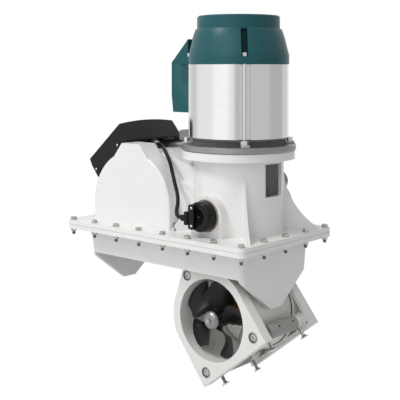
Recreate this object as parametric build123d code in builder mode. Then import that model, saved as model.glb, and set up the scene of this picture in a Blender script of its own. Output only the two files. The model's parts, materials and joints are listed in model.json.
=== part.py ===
from build123d import *
import os
from math import acos, asin, atan2, cos, degrees, hypot, pi, radians, sin, sqrt, tan

os.makedirs("parts", exist_ok=True)

# Retractable bow thruster, standing in its hull opening with the tunnel swung out.
# X runs fore and aft, Y across the boat, Z up. The origin is the middle of the
# flange rectangle, on the underside of the lower flange. All sizes in millimetres.

# Flanges that close the hull opening
flange_length = 560.0
flange_width = 344.0
flange_thickness = 10.0
flange_gasket_thickness = 1.0
flange_corner_radius = 16.0
bolts_long = 8
bolts_short = 5
bolt_edge_end = 14.0
bolt_edge_side = 12.0
bolt_diameter = 8.0
bolt_hole_clearance = 0.3
washer_diameter = 16.5
washer_thickness = 1.6
hex_across_flats = 13.0
bolt_head_height = 5.5
nut_height = 6.5
stud_tip = 8.0

# Lower casing
casing_length = flange_length - 80
casing_width = 266.0
casing_draft = 8.0
casing_wall = 11.0
casing_side_depth = 61.0
casing_end_depth = 142.0
casing_knee_depth = 69.0
casing_knee_step = 5.0
casing_tip_half_width = 20.0
casing_corner_radius = 16.0

# Swing of the drive leg and the tilt of the tunnel
swing_axis_x = 132.0
swing_axis_z = 68.0
swing_radius = 238.0
swing_travel = 90.0
tilt_angle = 38.2

# Tunnel
tunnel_bore_radius = 92.5
tunnel_wall = 5.0
tunnel_length = 204.0
plate_thickness = 26.0
plate_half_width = 110.0
plate_bottom = 110.0
plate_arc_radius = 113.0
plate_corner_radius = 8.0
plate_rim = 9.0
plate_web = 7.0
ear_height = 115.0
ear_radius = 16.5
low_rod_offset = 85.0
low_rod_height = -86.0
rod_diameter = 12.0
sleeve_diameter = 34.0
hatch_stud_offset_y = 60.0
hatch_stud_reach = 126.0
hatch_stud_diameter = 8.0

# Upper housing
housing_wall = 6.0
doghouse_half_width = 120.0
doghouse_arch_radius = 129.0
bump_half_length = 30.0
bump_top = 216.0
bump_inner_y = 66.0
column_radius = 105.0
column_wall = 8.0
column_top = 190.0
column_roof = 182.0
column_ring_radius = 131.3
column_ring_top = 208.0
window_width = 60.0
window_bottom = 108.0
window_top = 182.0
boss_radius = 44.0
boss_face = 118.0
gusset_thickness = 7.0

# Motor
ring_radius = 133.6
ring_top = 222.6
motor_bottom = 239.0
motor_top = 408.0
motor_radius = 116.8
motor_wall = 7.0
cap_top = 520.0

# Fits
running = 0.05
seat = 0.1
clear = 0.3

# Places worked out from the driving dimensions
front = -1
rear = 1
bolt_pitch_long = (flange_length - 2 * bolt_edge_end) / (bolts_long - 1)
bolt_pitch_short = (flange_width - 2 * bolt_edge_side) / (bolts_short - 1)
gasket_top = flange_thickness + flange_gasket_thickness
deck = gasket_top + flange_thickness
tunnel_x = swing_axis_x
tunnel_z = swing_axis_z - swing_radius
stowed_x = swing_axis_x - swing_radius
stowed_z = swing_axis_z
tunnel_half = tunnel_length / 2
plate_inner = tunnel_half - plate_thickness
motor_axis = Axis((swing_axis_x, 0, 0), (0, 0, 1))
swing_axis = Axis((swing_axis_x, 0, swing_axis_z), (0, 1, 0))
tunnel_axis = Axis((tunnel_x, 0, tunnel_z), (0, 1, 0))


def athwart(y, x=0.0, z=0.0, turn=0.0):
    """Plane across the boat: local x aft, local y up, facing the front (-Y)."""
    direction = (cos(radians(turn)), 0, sin(radians(turn)))
    return Plane(origin=(x, y, z), x_dir=direction, z_dir=(0, -1, 0))


def level(z, x=0.0, y=0.0):
    """Horizontal plane at height z, facing up."""
    return Plane(origin=(x, y, z), x_dir=(1, 0, 0), z_dir=(0, 0, 1))


def section(x, z):
    """Plane through an athwartship axis: local x is Y, local y is Z."""
    return Plane(origin=(x, 0, z), x_dir=(0, 1, 0), z_dir=(1, 0, 0))


def motor_section():
    """Plane through the motor axis: local x is the radius, local y is Z."""
    return Plane(origin=(swing_axis_x, 0, 0), x_dir=(1, 0, 0), z_dir=(0, -1, 0))


def outline(plane, points):
    """Closed straight-sided face on a plane."""
    with BuildSketch(plane) as face:
        with BuildLine():
            Polyline(*points, close=True)
        make_face()
    return face.sketch


def ring(plane, outer, inner=0.0):
    """Disc, or ring when it has an inner radius."""
    with BuildSketch(plane) as face:
        Circle(outer)
        if inner > 0:
            Circle(inner, mode=Mode.SUBTRACT)
    return face.sketch


def block(plane, length, width, radius=0.0):
    """Rectangle on a plane, with rounded corners when a radius is given."""
    with BuildSketch(plane) as face:
        if radius > 0:
            RectangleRounded(length, width, radius)
        else:
            Rectangle(length, width)
    return face.sketch


def hexagon(plane, across_flats, bore=0.0):
    """Hexagon of a bolt head or a nut."""
    with BuildSketch(plane) as face:
        RegularPolygon(across_flats / 2, 6, major_radius=False)
        if bore > 0:
            Circle(bore / 2, mode=Mode.SUBTRACT)
    return face.sketch


def tunnel_plane(y):
    """Plane in the tunnel's own tilted frame, centred on the propeller axis."""
    return athwart(y, tunnel_x, tunnel_z, tilt_angle)


def tunnel_point(x, z):
    """World X and Z of a point given in the tunnel's tilted frame, tunnel out."""
    c = cos(radians(tilt_angle))
    s = sin(radians(tilt_angle))
    return (tunnel_x + x * c - z * s, tunnel_z + x * s + z * c)


def flange_bolt_points():
    """Bolt positions round the flange, the corner bolts counted once."""
    long_start = -(bolts_long - 1) / 2 * bolt_pitch_long
    short_start = -(bolts_short - 1) / 2 * bolt_pitch_short
    points = []
    for side in (front, rear):
        for i in range(bolts_long):
            points.append((long_start + i * bolt_pitch_long, -side * short_start))
    for side in (-1, 1):
        for j in range(1, bolts_short - 1):
            points.append((-side * long_start, short_start + j * bolt_pitch_short))
    return points


bolt_points = flange_bolt_points()
bolt_hole_radius = bolt_diameter / 2 + bolt_hole_clearance

# Lower casing: flange, drafted side walls and V-shaped end walls, open below
side_draft = casing_side_depth * tan(radians(casing_draft))
side_foot = casing_width / 2 - side_draft


def casing_profile(inset, top):
    """Cross-section of the casing, drafted sides running down to the V tip."""
    half = casing_width / 2 - inset
    foot = side_foot - inset
    tip = casing_tip_half_width - inset * 0.4
    return [
        (-half - top * tan(radians(casing_draft)), top),
        (half + top * tan(radians(casing_draft)), top),
        (foot, -casing_side_depth),
        (foot - casing_knee_step, -casing_knee_depth),
        (tip, -casing_end_depth),
        (-tip, -casing_end_depth),
        (-foot + casing_knee_step, -casing_knee_depth),
        (-foot, -casing_side_depth),
    ]


with BuildPart() as lower_casing:
    hull_section = Plane(origin=(casing_length / 2, 0, 0), x_dir=(0, 1, 0), z_dir=(1, 0, 0))
    extrude(outline(hull_section, casing_profile(0, 0)), amount=-casing_length)
    upright = lower_casing.edges().filter_by(lambda e: abs(e.tangent_at(0.5).Z) > 0.9)
    fillet(upright, casing_corner_radius)
    hollow_length = casing_length - 2 * casing_wall
    hollow_section = Plane(origin=(hollow_length / 2, 0, 0), x_dir=(0, 1, 0), z_dir=(1, 0, 0))
    extrude(
        outline(hollow_section, casing_profile(casing_wall, 0)[:3] + casing_profile(casing_wall, 0)[-1:]),
        amount=-hollow_length,
        mode=Mode.SUBTRACT,
    )
    below = casing_end_depth - casing_side_depth
    extrude(
        block(level(-casing_side_depth), hollow_length, casing_width),
        amount=-below - 1,
        mode=Mode.SUBTRACT,
    )
    extrude(block(level(0), flange_length, flange_width, flange_corner_radius), amount=flange_thickness)
    extrude(
        block(level(0), hollow_length, casing_width - 2 * casing_wall),
        amount=flange_thickness,
        mode=Mode.SUBTRACT,
    )
    with Locations(*[(x, y, flange_thickness) for x, y in bolt_points]):
        Hole(bolt_hole_radius, depth=flange_thickness)
lower_casing.part.label = "lower_casing"
export_step(lower_casing.part, "parts/lower_casing.step")


# Gasket between the two flanges
with BuildPart() as flange_gasket:
    extrude(
        block(level(flange_thickness), flange_length, flange_width, flange_corner_radius),
        amount=flange_gasket_thickness,
    )
    extrude(
        block(level(flange_thickness), hollow_length, casing_width - 2 * casing_wall),
        amount=flange_gasket_thickness,
        mode=Mode.SUBTRACT,
    )
    with Locations(*[(x, y, gasket_top) for x, y in bolt_points]):
        Hole(bolt_hole_radius, depth=flange_gasket_thickness)
flange_gasket.part.label = "flange_gasket"
export_step(flange_gasket.part, "parts/flange_gasket.step")

# Upper housing: doghouse for the stowed tunnel, column for the motor, bridge between
arch_drop = stowed_z - gasket_top
bump_y = doghouse_half_width - bump_inner_y


def doghouse_face(y, inset):
    """Arch of the doghouse, straight-sided from its centre down to the flange."""
    radius = doghouse_arch_radius - inset
    with BuildSketch(athwart(y, stowed_x, stowed_z)) as face:
        Circle(radius)
        with Locations((0, -arch_drop / 2)):
            Rectangle(2 * radius, arch_drop)
        with Locations((0, -arch_drop - radius)):
            Rectangle(2 * radius, 2 * radius, mode=Mode.SUBTRACT)
    return face.sketch


def bump_face(y, inset):
    """Raised roof over the ear of a tunnel plate."""
    top = bump_top - stowed_z - inset * 1.3
    half = bump_half_length - inset
    foot = bump_half_length + 32.0 - inset
    shape = [(-foot, top - 40.0), (-half, top), (half, top), (foot, top - 40.0)]
    return outline(athwart(y, stowed_x, stowed_z), shape + [(0, 40.0)])


def bridge_face(y, inset):
    """Side of the bridge, its roof falling from the doghouse to the column."""
    return outline(
        athwart(y),
        [
            (stowed_x + 36, 197 - inset),
            (swing_axis_x - 92, 166 - inset),
            (swing_axis_x - 72, 160 - inset),
            (swing_axis_x - 72, gasket_top),
            (stowed_x + 36, gasket_top),
        ],
    )


def low_bridge_face(y, inset):
    """Side of the wider lower passage for the leg."""
    return outline(
        athwart(y),
        [
            (stowed_x + 86, 140 - inset),
            (swing_axis_x - 64, 120 - inset),
            (swing_axis_x - 64, gasket_top),
            (stowed_x + 86, gasket_top),
        ],
    )


bridge_half = 57.0
low_bridge_half = 84.0
doghouse_inner = doghouse_half_width - housing_wall
column_bore = column_radius - column_wall
bush_radius = 20.0
pin_radius = 15.0
boss_inner = 84.0
gusset_feet = {45: 192.0, 135: 160.0, 225: 160.0, 315: 192.0}

with BuildPart() as doghouse_form:
    extrude(doghouse_face(doghouse_half_width, 0), amount=2 * doghouse_half_width)
    arcs = doghouse_form.edges().filter_by(GeomType.CIRCLE)
    fillet(arcs, 5)

with BuildPart() as upper_housing:
    extrude(
        block(level(gasket_top), flange_length, flange_width, flange_corner_radius),
        amount=flange_thickness,
    )
    add(doghouse_form.part)
    extrude(bump_face(doghouse_half_width, 0), amount=bump_y)
    extrude(bump_face(-bump_inner_y, 0), amount=bump_y)
    extrude(bridge_face(bridge_half, 0), amount=2 * bridge_half)
    extrude(low_bridge_face(low_bridge_half, 0), amount=2 * low_bridge_half)
    extrude(ring(level(gasket_top, swing_axis_x), column_radius), amount=column_top - gasket_top)
    extrude(
        ring(level(column_top, swing_axis_x), column_ring_radius),
        amount=column_ring_top - column_top,
    )
    with BuildSketch(athwart(boss_face, swing_axis_x, swing_axis_z)):
        Circle(boss_radius)
        with Locations((0, -(swing_axis_z - gasket_top) / 2)):
            Rectangle(2 * boss_radius, swing_axis_z - gasket_top)
    extrude(amount=2 * boss_face)
    for angle, foot in gusset_feet.items():
        direction = (cos(radians(angle)), sin(radians(angle)), 0)
        across = (-sin(radians(angle)), cos(radians(angle)), 0)
        side = Plane(origin=(swing_axis_x, 0, 0), x_dir=direction, z_dir=(-across[0], -across[1], 0))
        with BuildSketch(side):
            with BuildLine():
                Line((90, gasket_top), (90, 150))
                Line((90, 150), (column_radius + 1, 150))
                ThreePointArc(
                    (column_radius + 1, 150),
                    (column_radius + 0.3 * (foot - column_radius), 82),
                    (foot, deck),
                )
                Line((foot, deck), (foot, gasket_top))
                Line((foot, gasket_top), (90, gasket_top))
            make_face()
        extrude(amount=gusset_thickness / 2, both=True)
    # Hollow inside
    extrude(doghouse_face(doghouse_inner, housing_wall), amount=2 * doghouse_inner, mode=Mode.SUBTRACT)
    extrude(bump_face(doghouse_inner, housing_wall), amount=bump_y - 2 * housing_wall, mode=Mode.SUBTRACT)
    extrude(
        bump_face(-bump_inner_y - housing_wall, housing_wall),
        amount=bump_y - 2 * housing_wall,
        mode=Mode.SUBTRACT,
    )
    extrude(
        bridge_face(bridge_half - housing_wall, housing_wall),
        amount=2 * (bridge_half - housing_wall),
        mode=Mode.SUBTRACT,
    )
    extrude(
        low_bridge_face(low_bridge_half - housing_wall, housing_wall),
        amount=2 * (low_bridge_half - housing_wall),
        mode=Mode.SUBTRACT,
    )
    doghouse_side = stowed_x + doghouse_arch_radius - housing_wall
    extrude(
        outline(
            athwart(doghouse_inner - 4),
            [
                (doghouse_side - 10, deck + 30),
                (doghouse_side, deck + 30),
                (doghouse_side + 20, gasket_top),
                (doghouse_side - 10, gasket_top),
            ],
        ),
        amount=2 * (doghouse_inner - 4),
        mode=Mode.SUBTRACT,
    )
    extrude(
        ring(level(gasket_top, swing_axis_x), column_bore),
        amount=column_roof - gasket_top,
        mode=Mode.SUBTRACT,
    )
    extrude(
        ring(level(column_roof, swing_axis_x), 45.0),
        amount=column_ring_top - column_roof,
        mode=Mode.SUBTRACT,
    )
    window_height = window_top - window_bottom
    with Locations((swing_axis_x + column_radius, 0, window_bottom + window_height / 2)):
        Box(40, window_width, window_height, mode=Mode.SUBTRACT)
    for side in (front, rear):
        start = boss_face if side > 0 else -boss_inner
        extrude(
            ring(athwart(start, swing_axis_x, swing_axis_z), bush_radius + 10),
            amount=boss_face - boss_inner,
        )
    extrude(
        ring(athwart(boss_face, swing_axis_x, swing_axis_z), bush_radius + seat),
        amount=2 * boss_face,
        mode=Mode.SUBTRACT,
    )
    with Locations(*[(x, y, deck) for x, y in bolt_points]):
        Hole(bolt_hole_radius, depth=flange_thickness)
    with BuildSketch(level(column_ring_top, swing_axis_x)):
        with PolarLocations(123.0, 4, start_angle=45):
            Circle(5.1)
    extrude(amount=-16, mode=Mode.SUBTRACT)
upper_housing.part.label = "upper_housing"
export_step(upper_housing.part, "parts/upper_housing.step")

# Flange fasteners: head and washer above, washer, nut and stud tip below
shank_radius = bolt_diameter / 2
nut_top = -washer_thickness
head_seat = deck + washer_thickness
bolt_length = head_seat - nut_top + nut_height + stud_tip
nut_bore = bolt_diameter + 2 * seat

with BuildPart() as flange_bolts:
    for x, y in bolt_points:
        extrude(hexagon(level(head_seat, x, y), hex_across_flats), amount=bolt_head_height)
        extrude(ring(level(head_seat, x, y), shank_radius), amount=-bolt_length)
flange_bolts.part.label = "flange_bolts"
export_step(flange_bolts.part, "parts/flange_bolts.step")

with BuildPart() as flange_washers:
    for x, y in bolt_points:
        for z in (deck, nut_top):
            extrude(ring(level(z, x, y), washer_diameter / 2, shank_radius + seat), amount=washer_thickness)
flange_washers.part.label = "flange_washers"
export_step(flange_washers.part, "parts/flange_washers.step")

with BuildPart() as flange_nuts:
    for x, y in bolt_points:
        extrude(hexagon(level(nut_top, x, y), hex_across_flats, nut_bore), amount=-nut_height)
flange_nuts.part.label = "flange_nuts"
export_step(flange_nuts.part, "parts/flange_nuts.step")

# Motor mount ring, machined, with the drive end shield of the motor on it
mount_bolt_circle = 123.0
mount_bolt_radius = 5.0
foot_angles = 45

with BuildPart() as motor_mount_ring:
    profile = [
        (45.0, column_ring_top),
        (ring_radius - 3, column_ring_top),
        (ring_radius, column_ring_top + 3),
        (ring_radius, ring_top),
        (45.0, ring_top),
    ]
    revolve(outline(motor_section(), profile), axis=motor_axis)
    with BuildSketch(level(ring_top, swing_axis_x)):
        with PolarLocations(mount_bolt_circle, 4, start_angle=foot_angles):
            Circle(mount_bolt_radius + seat)
    extrude(amount=column_ring_top - ring_top, mode=Mode.SUBTRACT)
motor_mount_ring.part.label = "motor_mount_ring"
export_step(motor_mount_ring.part, "parts/motor_mount_ring.step")

shield_radius = motor_radius - 4.8
shield_floor = 4.0
shaft_radius = 12.0
bearing_radius = 26.0
bearing_width = 14.0
bearing_housing = 8.0
foot_width = 20.0
foot_length = 30.0
foot_thickness = 6.0
leg_circle = motor_radius - 13.8
leg_depth = 16.0
grille_circle = shield_radius - 4.0
grille_bars = 96
grille_bar = 2.4

with BuildPart() as drive_end_shield:
    extrude(
        ring(level(motor_bottom - shield_floor, swing_axis_x), shield_radius, bearing_radius),
        amount=shield_floor,
    )
    extrude(
        ring(level(ring_top, swing_axis_x), bearing_radius + bearing_housing, bearing_radius + seat),
        amount=motor_bottom - ring_top - shield_floor,
    )
    # Four feet on the mount ring, each with an upright leg under the motor
    with BuildSketch(level(ring_top, swing_axis_x)):
        with PolarLocations(mount_bolt_circle, 4, start_angle=foot_angles):
            Rectangle(foot_length, foot_width)
            Circle(mount_bolt_radius + seat, mode=Mode.SUBTRACT)
    extrude(amount=foot_thickness)
    with BuildSketch(level(ring_top, swing_axis_x)):
        with PolarLocations(leg_circle, 4, start_angle=foot_angles):
            Rectangle(leg_depth, foot_width)
    extrude(amount=motor_bottom - ring_top)
    # Upright bars of the air grille between the feet
    with BuildSketch(level(ring_top, swing_axis_x)):
        with PolarLocations(grille_circle, grille_bars, start_angle=180.0 / grille_bars):
            Rectangle(2 * grille_bar, grille_bar)
    extrude(amount=motor_bottom - ring_top - shield_floor)
drive_end_shield.part.label = "drive_end_shield"
export_step(drive_end_shield.part, "parts/drive_end_shield.step")

mount_seat = ring_top + foot_thickness
mount_bolt_across_flats = 16.0
mount_bolt_head = 8.0
mount_bolt_length = mount_seat - column_ring_top + 14.0

with BuildPart() as mount_bolts:
    for i in range(4):
        angle = radians(foot_angles + 90 * i)
        x = swing_axis_x + mount_bolt_circle * cos(angle)
        y = mount_bolt_circle * sin(angle)
        extrude(hexagon(level(mount_seat, x, y), mount_bolt_across_flats), amount=mount_bolt_head)
        extrude(ring(level(mount_seat, x, y), mount_bolt_radius), amount=-mount_bolt_length)
mount_bolts.part.label = "mount_bolts"
export_step(mount_bolts.part, "parts/mount_bolts.step")

# Motor body: drawn tube with a groove over each tie rod
groove_width = 26.0
groove_depth = 8.5
tie_rod_radius = 4.0
tie_rod_circle = motor_radius - tie_rod_radius
tie_rod_top = 446.0
tie_nut_z = 425.5
tie_nut_height = 8.0
tie_nut_across_flats = 12.0

with BuildPart() as motor_body:
    extrude(ring(level(motor_bottom, swing_axis_x), motor_radius), amount=motor_top - motor_bottom)
    with BuildSketch(level(motor_bottom, swing_axis_x)):
        with PolarLocations(motor_radius, 4, start_angle=foot_angles):
            Rectangle(2 * groove_depth, groove_width)
    extrude(amount=motor_top - motor_bottom, mode=Mode.SUBTRACT)
    extrude(
        ring(level(motor_bottom, swing_axis_x), motor_radius - groove_depth - motor_wall),
        amount=motor_top - motor_bottom,
        mode=Mode.SUBTRACT,
    )
motor_body.part.label = "motor_body"
export_step(motor_body.part, "parts/motor_body.step")

body_bore = motor_radius - groove_depth - motor_wall

with BuildPart() as motor_tie_rods:
    for i in range(4):
        angle = radians(foot_angles + 90 * i)
        x = swing_axis_x + tie_rod_circle * cos(angle)
        y = tie_rod_circle * sin(angle)
        extrude(ring(level(motor_bottom, x, y), tie_rod_radius), amount=tie_rod_top - motor_bottom)
        extrude(hexagon(level(tie_nut_z, x, y), tie_nut_across_flats), amount=tie_nut_height)
motor_tie_rods.part.label = "motor_tie_rods"
export_step(motor_tie_rods.part, "parts/motor_tie_rods.step")

# Upper end shield under the cap, carrying the top bearing
upper_shield_radius = motor_radius - 10.8
upper_shield_thickness = 8.0
upper_shield_hub = 18.0
top_bearing_seat = motor_top + 2.0

with BuildPart() as upper_end_shield:
    extrude(
        ring(level(motor_top, swing_axis_x), upper_shield_radius, bearing_radius + seat),
        amount=upper_shield_thickness,
    )
    extrude(
        ring(level(motor_top, swing_axis_x), bearing_radius + bearing_housing, bearing_radius + seat),
        amount=upper_shield_hub,
    )
upper_end_shield.part.label = "upper_end_shield"
export_step(upper_end_shield.part, "parts/upper_end_shield.step")

with BuildPart() as motor_bearings:
    for z in (ring_top, top_bearing_seat):
        extrude(ring(level(z, swing_axis_x), bearing_radius, shaft_radius + running), amount=bearing_width)
motor_bearings.part.label = "motor_bearings"
export_step(motor_bearings.part, "parts/motor_bearings.step")

# Cap, a thin moulded shell with a stepped lid and four slots over the tie rods
cap_wall = 3.5
cap_step = 489.0
cap_rim = motor_radius + 1.4
cap_lid_radius = motor_radius - 23.8
slot_width = 16.0
slot_foot = 425.0
slot_floor = motor_radius - 13.0
notch_width = 10.0


def cap_flank(inset):
    """Radius and height up the cap's drafted flank."""
    return [
        (cap_rim - inset, motor_top),
        (cap_rim - 0.7 - inset, 428),
        (cap_rim - 5.7 - inset, 448),
        (cap_rim - 11.7 - inset, 470),
        (cap_rim - 19.7 - inset, cap_step - inset),
    ]


def cap_profile(inset):
    """Half section of the cap's outside, or of its inside when inset."""
    return [
        (0, motor_top),
        *cap_flank(inset),
        (cap_lid_radius + 0.5 - inset, cap_step - inset),
        (cap_lid_radius - inset, 514 - inset),
        (cap_lid_radius - 5 - inset, cap_top - inset),
        (0, cap_top - inset),
    ]


with BuildPart() as motor_cap:
    revolve(outline(motor_section(), cap_profile(0)), axis=motor_axis)
    revolve(outline(motor_section(), cap_profile(cap_wall)), axis=motor_axis, mode=Mode.SUBTRACT)
    # Walls of the slots stand inside the shell before the slots are cut
    with BuildSketch(level(slot_foot - cap_wall, swing_axis_x)):
        with PolarLocations((slot_floor + motor_radius - 6) / 2, 4, start_angle=foot_angles):
            Rectangle(motor_radius - 6 - slot_floor + 2 * cap_wall, slot_width + 2 * cap_wall)
        Circle(cap_lid_radius + 3, mode=Mode.SUBTRACT)
    extrude(amount=448 - slot_foot + cap_wall)
    with BuildSketch(level(slot_foot, swing_axis_x)):
        with PolarLocations(slot_floor + 20, 4, start_angle=foot_angles):
            Rectangle(40, slot_width)
    extrude(amount=cap_step - slot_foot, mode=Mode.SUBTRACT)
    with BuildSketch(level(motor_top, swing_axis_x)):
        with PolarLocations(tie_rod_circle, 4, start_angle=foot_angles):
            Circle(tie_rod_radius + seat)
    extrude(amount=slot_foot - motor_top, mode=Mode.SUBTRACT)
    with BuildSketch(level(cap_step, swing_axis_x)):
        with PolarLocations(cap_lid_radius, 4, start_angle=foot_angles):
            Rectangle(2.0, notch_width)
    extrude(amount=cap_top - cap_step, mode=Mode.SUBTRACT)
motor_cap.part.label = "motor_cap"
export_step(motor_cap.part, "parts/motor_cap.step")

# Controller box on the side of the motor
box_half = 40.0
box_wall = 3.0
box_bottom = 292.0
box_depth = 60.2


def controller_face(y, inset):
    """Side of the controller box on the motor."""
    outer = motor_radius + box_depth - inset
    return outline(
        athwart(y, swing_axis_x),
        [
            (-motor_radius + 14.8 + inset, cap_step - 1.6 * inset),
            (-motor_radius - 4.2 + inset, 471 - inset),
            (-outer, 412 - 0.4 * inset),
            (-outer, 334 + 0.1 * inset),
            (-outer + 5, box_bottom + inset),
            (-motor_radius + 26.8, box_bottom + inset),
            (-motor_radius + 26.8, cap_step - 1.6 * inset),
        ],
    )


with BuildPart() as controller_box:
    extrude(controller_face(box_half, 0), amount=2 * box_half)
    extrude(
        controller_face(box_half - box_wall, box_wall),
        amount=2 * (box_half - box_wall),
        mode=Mode.SUBTRACT,
    )
    motor_room = [(0, 280), (motor_radius + clear, 280), (motor_radius + clear, motor_top)]
    motor_room += [(x + clear, z) for x, z in cap_flank(0)]
    motor_room += [(cap_rim - 19.7 + clear, cap_step + 3), (0, cap_step + 3)]
    revolve(outline(motor_section(), motor_room), axis=motor_axis, mode=Mode.SUBTRACT)
controller_box.part.label = "controller_box"
export_step(controller_box.part, "parts/controller_box.step")

# Rotor, commutator, field poles and brush gear inside the motor
rotor_radius = 62.0
rotor_bottom = 262.0
rotor_length = 96.0
commutator_radius = 32.0
commutator_bottom = 368.0
commutator_length = 30.0
air_gap = 1.5
motor_shaft_top = top_bearing_seat + bearing_width
coupling_bottom = swing_axis_z + 42.0
coupling_top = coupling_bottom + 34.0
coupling_floor = coupling_bottom + 14.0

with BuildPart() as motor_shaft:
    extrude(
        ring(level(coupling_floor, swing_axis_x), shaft_radius),
        amount=motor_shaft_top - coupling_floor,
    )
motor_shaft.part.label = "motor_shaft"
export_step(motor_shaft.part, "parts/motor_shaft.step")

with BuildPart() as motor_rotor:
    extrude(ring(level(rotor_bottom, swing_axis_x), rotor_radius, shaft_radius), amount=rotor_length)
motor_rotor.part.label = "motor_rotor"
export_step(motor_rotor.part, "parts/motor_rotor.step")

with BuildPart() as commutator:
    extrude(
        ring(level(commutator_bottom, swing_axis_x), commutator_radius, shaft_radius),
        amount=commutator_length,
    )
commutator.part.label = "commutator"
export_step(commutator.part, "parts/commutator.step")

pole_width = 46.0
brush_plate_z = 374.0
brush_plate_thickness = 6.0
brush_plate_bore = 50.0
brush_holder = (24.0, 18.0, 16.0)

with BuildPart() as field_poles:
    for i in range(4):
        turn = radians(90 * i)
        facing = (cos(turn), sin(turn), 0)
        with BuildSketch(Plane(origin=(swing_axis_x, 0, rotor_bottom), x_dir=facing, z_dir=(0, 0, 1))):
            Circle(body_bore - clear)
            Circle(rotor_radius + air_gap, mode=Mode.SUBTRACT)
            with Locations((body_bore - pole_width / 2, 0)):
                Rectangle(pole_width * 1.3, pole_width, mode=Mode.INTERSECT)
        extrude(amount=rotor_length)
field_poles.part.label = "field_poles"
export_step(field_poles.part, "parts/field_poles.step")

with BuildPart() as brush_ring:
    extrude(
        ring(level(brush_plate_z, swing_axis_x), body_bore - clear, brush_plate_bore),
        amount=brush_plate_thickness,
    )
    for i in range(4):
        turn = radians(90 * i)
        facing = (cos(turn), sin(turn), 0)
        with BuildSketch(Plane(origin=(swing_axis_x, 0, brush_plate_z), x_dir=facing, z_dir=(0, 0, 1))):
            with Locations((commutator_radius + clear + brush_holder[0] / 2, 0)):
                Rectangle(brush_holder[0], brush_holder[1])
        extrude(amount=brush_holder[2])
brush_ring.part.label = "brush_ring"
export_step(brush_ring.part, "parts/brush_ring.step")

# Jaw coupling: the slot of the upper half lies along the swing when parked
tongue_half = 7.0
tongue_radius = 54.0
coupling_radius = 26.0

with BuildPart() as motor_coupling:
    extrude(
        ring(level(coupling_bottom, swing_axis_x), coupling_radius),
        amount=coupling_top - coupling_bottom,
    )
    extrude(
        ring(level(coupling_floor, swing_axis_x), shaft_radius + seat / 10),
        amount=coupling_top - coupling_floor,
        mode=Mode.SUBTRACT,
    )
    extrude(
        ring(athwart(tongue_half + clear, swing_axis_x, swing_axis_z), tongue_radius + 1),
        amount=2 * (tongue_half + clear),
        mode=Mode.SUBTRACT,
    )
motor_coupling.part.label = "motor_coupling"
export_step(motor_coupling.part, "parts/motor_coupling.step")

# Drive leg: hub on the swing axis, tapered strut and gearcase on the propeller axis
hub_radius = 34.0
hub_half = 30.0
leg_bore = 11.0
leg_shaft_radius = 8.0
gearcase_radius = 27.0
gearcase_front = -30.0
gearcase_rear = 34.0
stub_radius = 20.0
stub_end = 62.0
gear_cavity_radius = 22.0
prop_shaft_radius = 9.0
top_bearing_z = swing_axis_z + 12
top_bearing_radius = 18.0
low_bearing_z = tunnel_z + 42
low_bearing_radius = 15.0
pin_inner = 20.0

with BuildPart() as drive_leg:
    extrude(ring(athwart(hub_half, swing_axis_x, swing_axis_z), hub_radius), amount=2 * hub_half)
    with BuildSketch(level(swing_axis_z - 20, swing_axis_x)):
        Ellipse(24, 26)
    with BuildSketch(level(tunnel_z + 20, swing_axis_x)):
        Ellipse(18, 19)
    loft()
    gearcase = [
        (gearcase_front, 0),
        (gearcase_front, 22),
        (gearcase_front + 6, gearcase_radius),
        (gearcase_rear - 8, gearcase_radius),
        (gearcase_rear, stub_radius),
        (stub_end, stub_radius),
        (stub_end, 0),
    ]
    revolve(outline(section(tunnel_x, tunnel_z), gearcase), axis=tunnel_axis)
    extrude(
        ring(level(tunnel_z, swing_axis_x), leg_bore),
        amount=swing_radius + hub_radius + 5,
        mode=Mode.SUBTRACT,
    )
    extrude(
        ring(level(top_bearing_z, swing_axis_x), top_bearing_radius + seat),
        amount=40,
        mode=Mode.SUBTRACT,
    )
    extrude(
        ring(level(low_bearing_z - 12, swing_axis_x), low_bearing_radius + seat),
        amount=12,
        mode=Mode.SUBTRACT,
    )
    cavity = [
        (gearcase_front, 0),
        (gearcase_front, 17 + seat),
        (-20, 17 + seat),
        (-20, gear_cavity_radius),
        (22, gear_cavity_radius),
        (22, 16 + seat),
        (34, 16 + seat),
        (34, 12),
        (stub_end - 6, 12),
        (stub_end - 6, 0),
    ]
    revolve(outline(section(tunnel_x, tunnel_z), cavity), axis=tunnel_axis, mode=Mode.SUBTRACT)
    for side in (front, rear):
        start = hub_half if side > 0 else -pin_inner
        extrude(
            ring(athwart(start, swing_axis_x, swing_axis_z), pin_radius + seat),
            amount=hub_half - pin_inner,
            mode=Mode.SUBTRACT,
        )
drive_leg.part.label = "drive_leg"
export_step(drive_leg.part, "parts/drive_leg.step")

# Pins and bushes of the swing axis
pin_front_end = -boss_face + 4
sector_y = 124.0
sector_width = 10.0

with BuildPart() as swing_pins:
    extrude(
        ring(athwart(-pin_inner - seat, swing_axis_x, swing_axis_z), pin_radius),
        amount=-pin_inner - pin_front_end,
    )
    extrude(
        ring(athwart(sector_y + sector_width, swing_axis_x, swing_axis_z), pin_radius),
        amount=sector_y + sector_width - pin_inner - seat,
    )
swing_pins.part.label = "swing_pins"
export_step(swing_pins.part, "parts/swing_pins.step")

with BuildPart() as swing_bushes:
    for y in (-boss_inner, boss_face):
        extrude(
            ring(athwart(y, swing_axis_x, swing_axis_z), bush_radius, pin_radius + running),
            amount=boss_face - boss_inner,
        )
swing_bushes.part.label = "swing_bushes"
export_step(swing_bushes.part, "parts/swing_bushes.step")

# Shafts and bevel gears
bevel_module = 2.0
pinion_teeth = 12
gear_teeth = 18
pinion_pitch = bevel_module * pinion_teeth / 2
gear_pitch = bevel_module * gear_teeth / 2
cone_distance = hypot(pinion_pitch, gear_pitch)
tooth_face = 7.0
tooth_top = 0.8 * bevel_module
tooth_root = 1.1 * bevel_module
tooth_fill = 0.42


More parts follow.
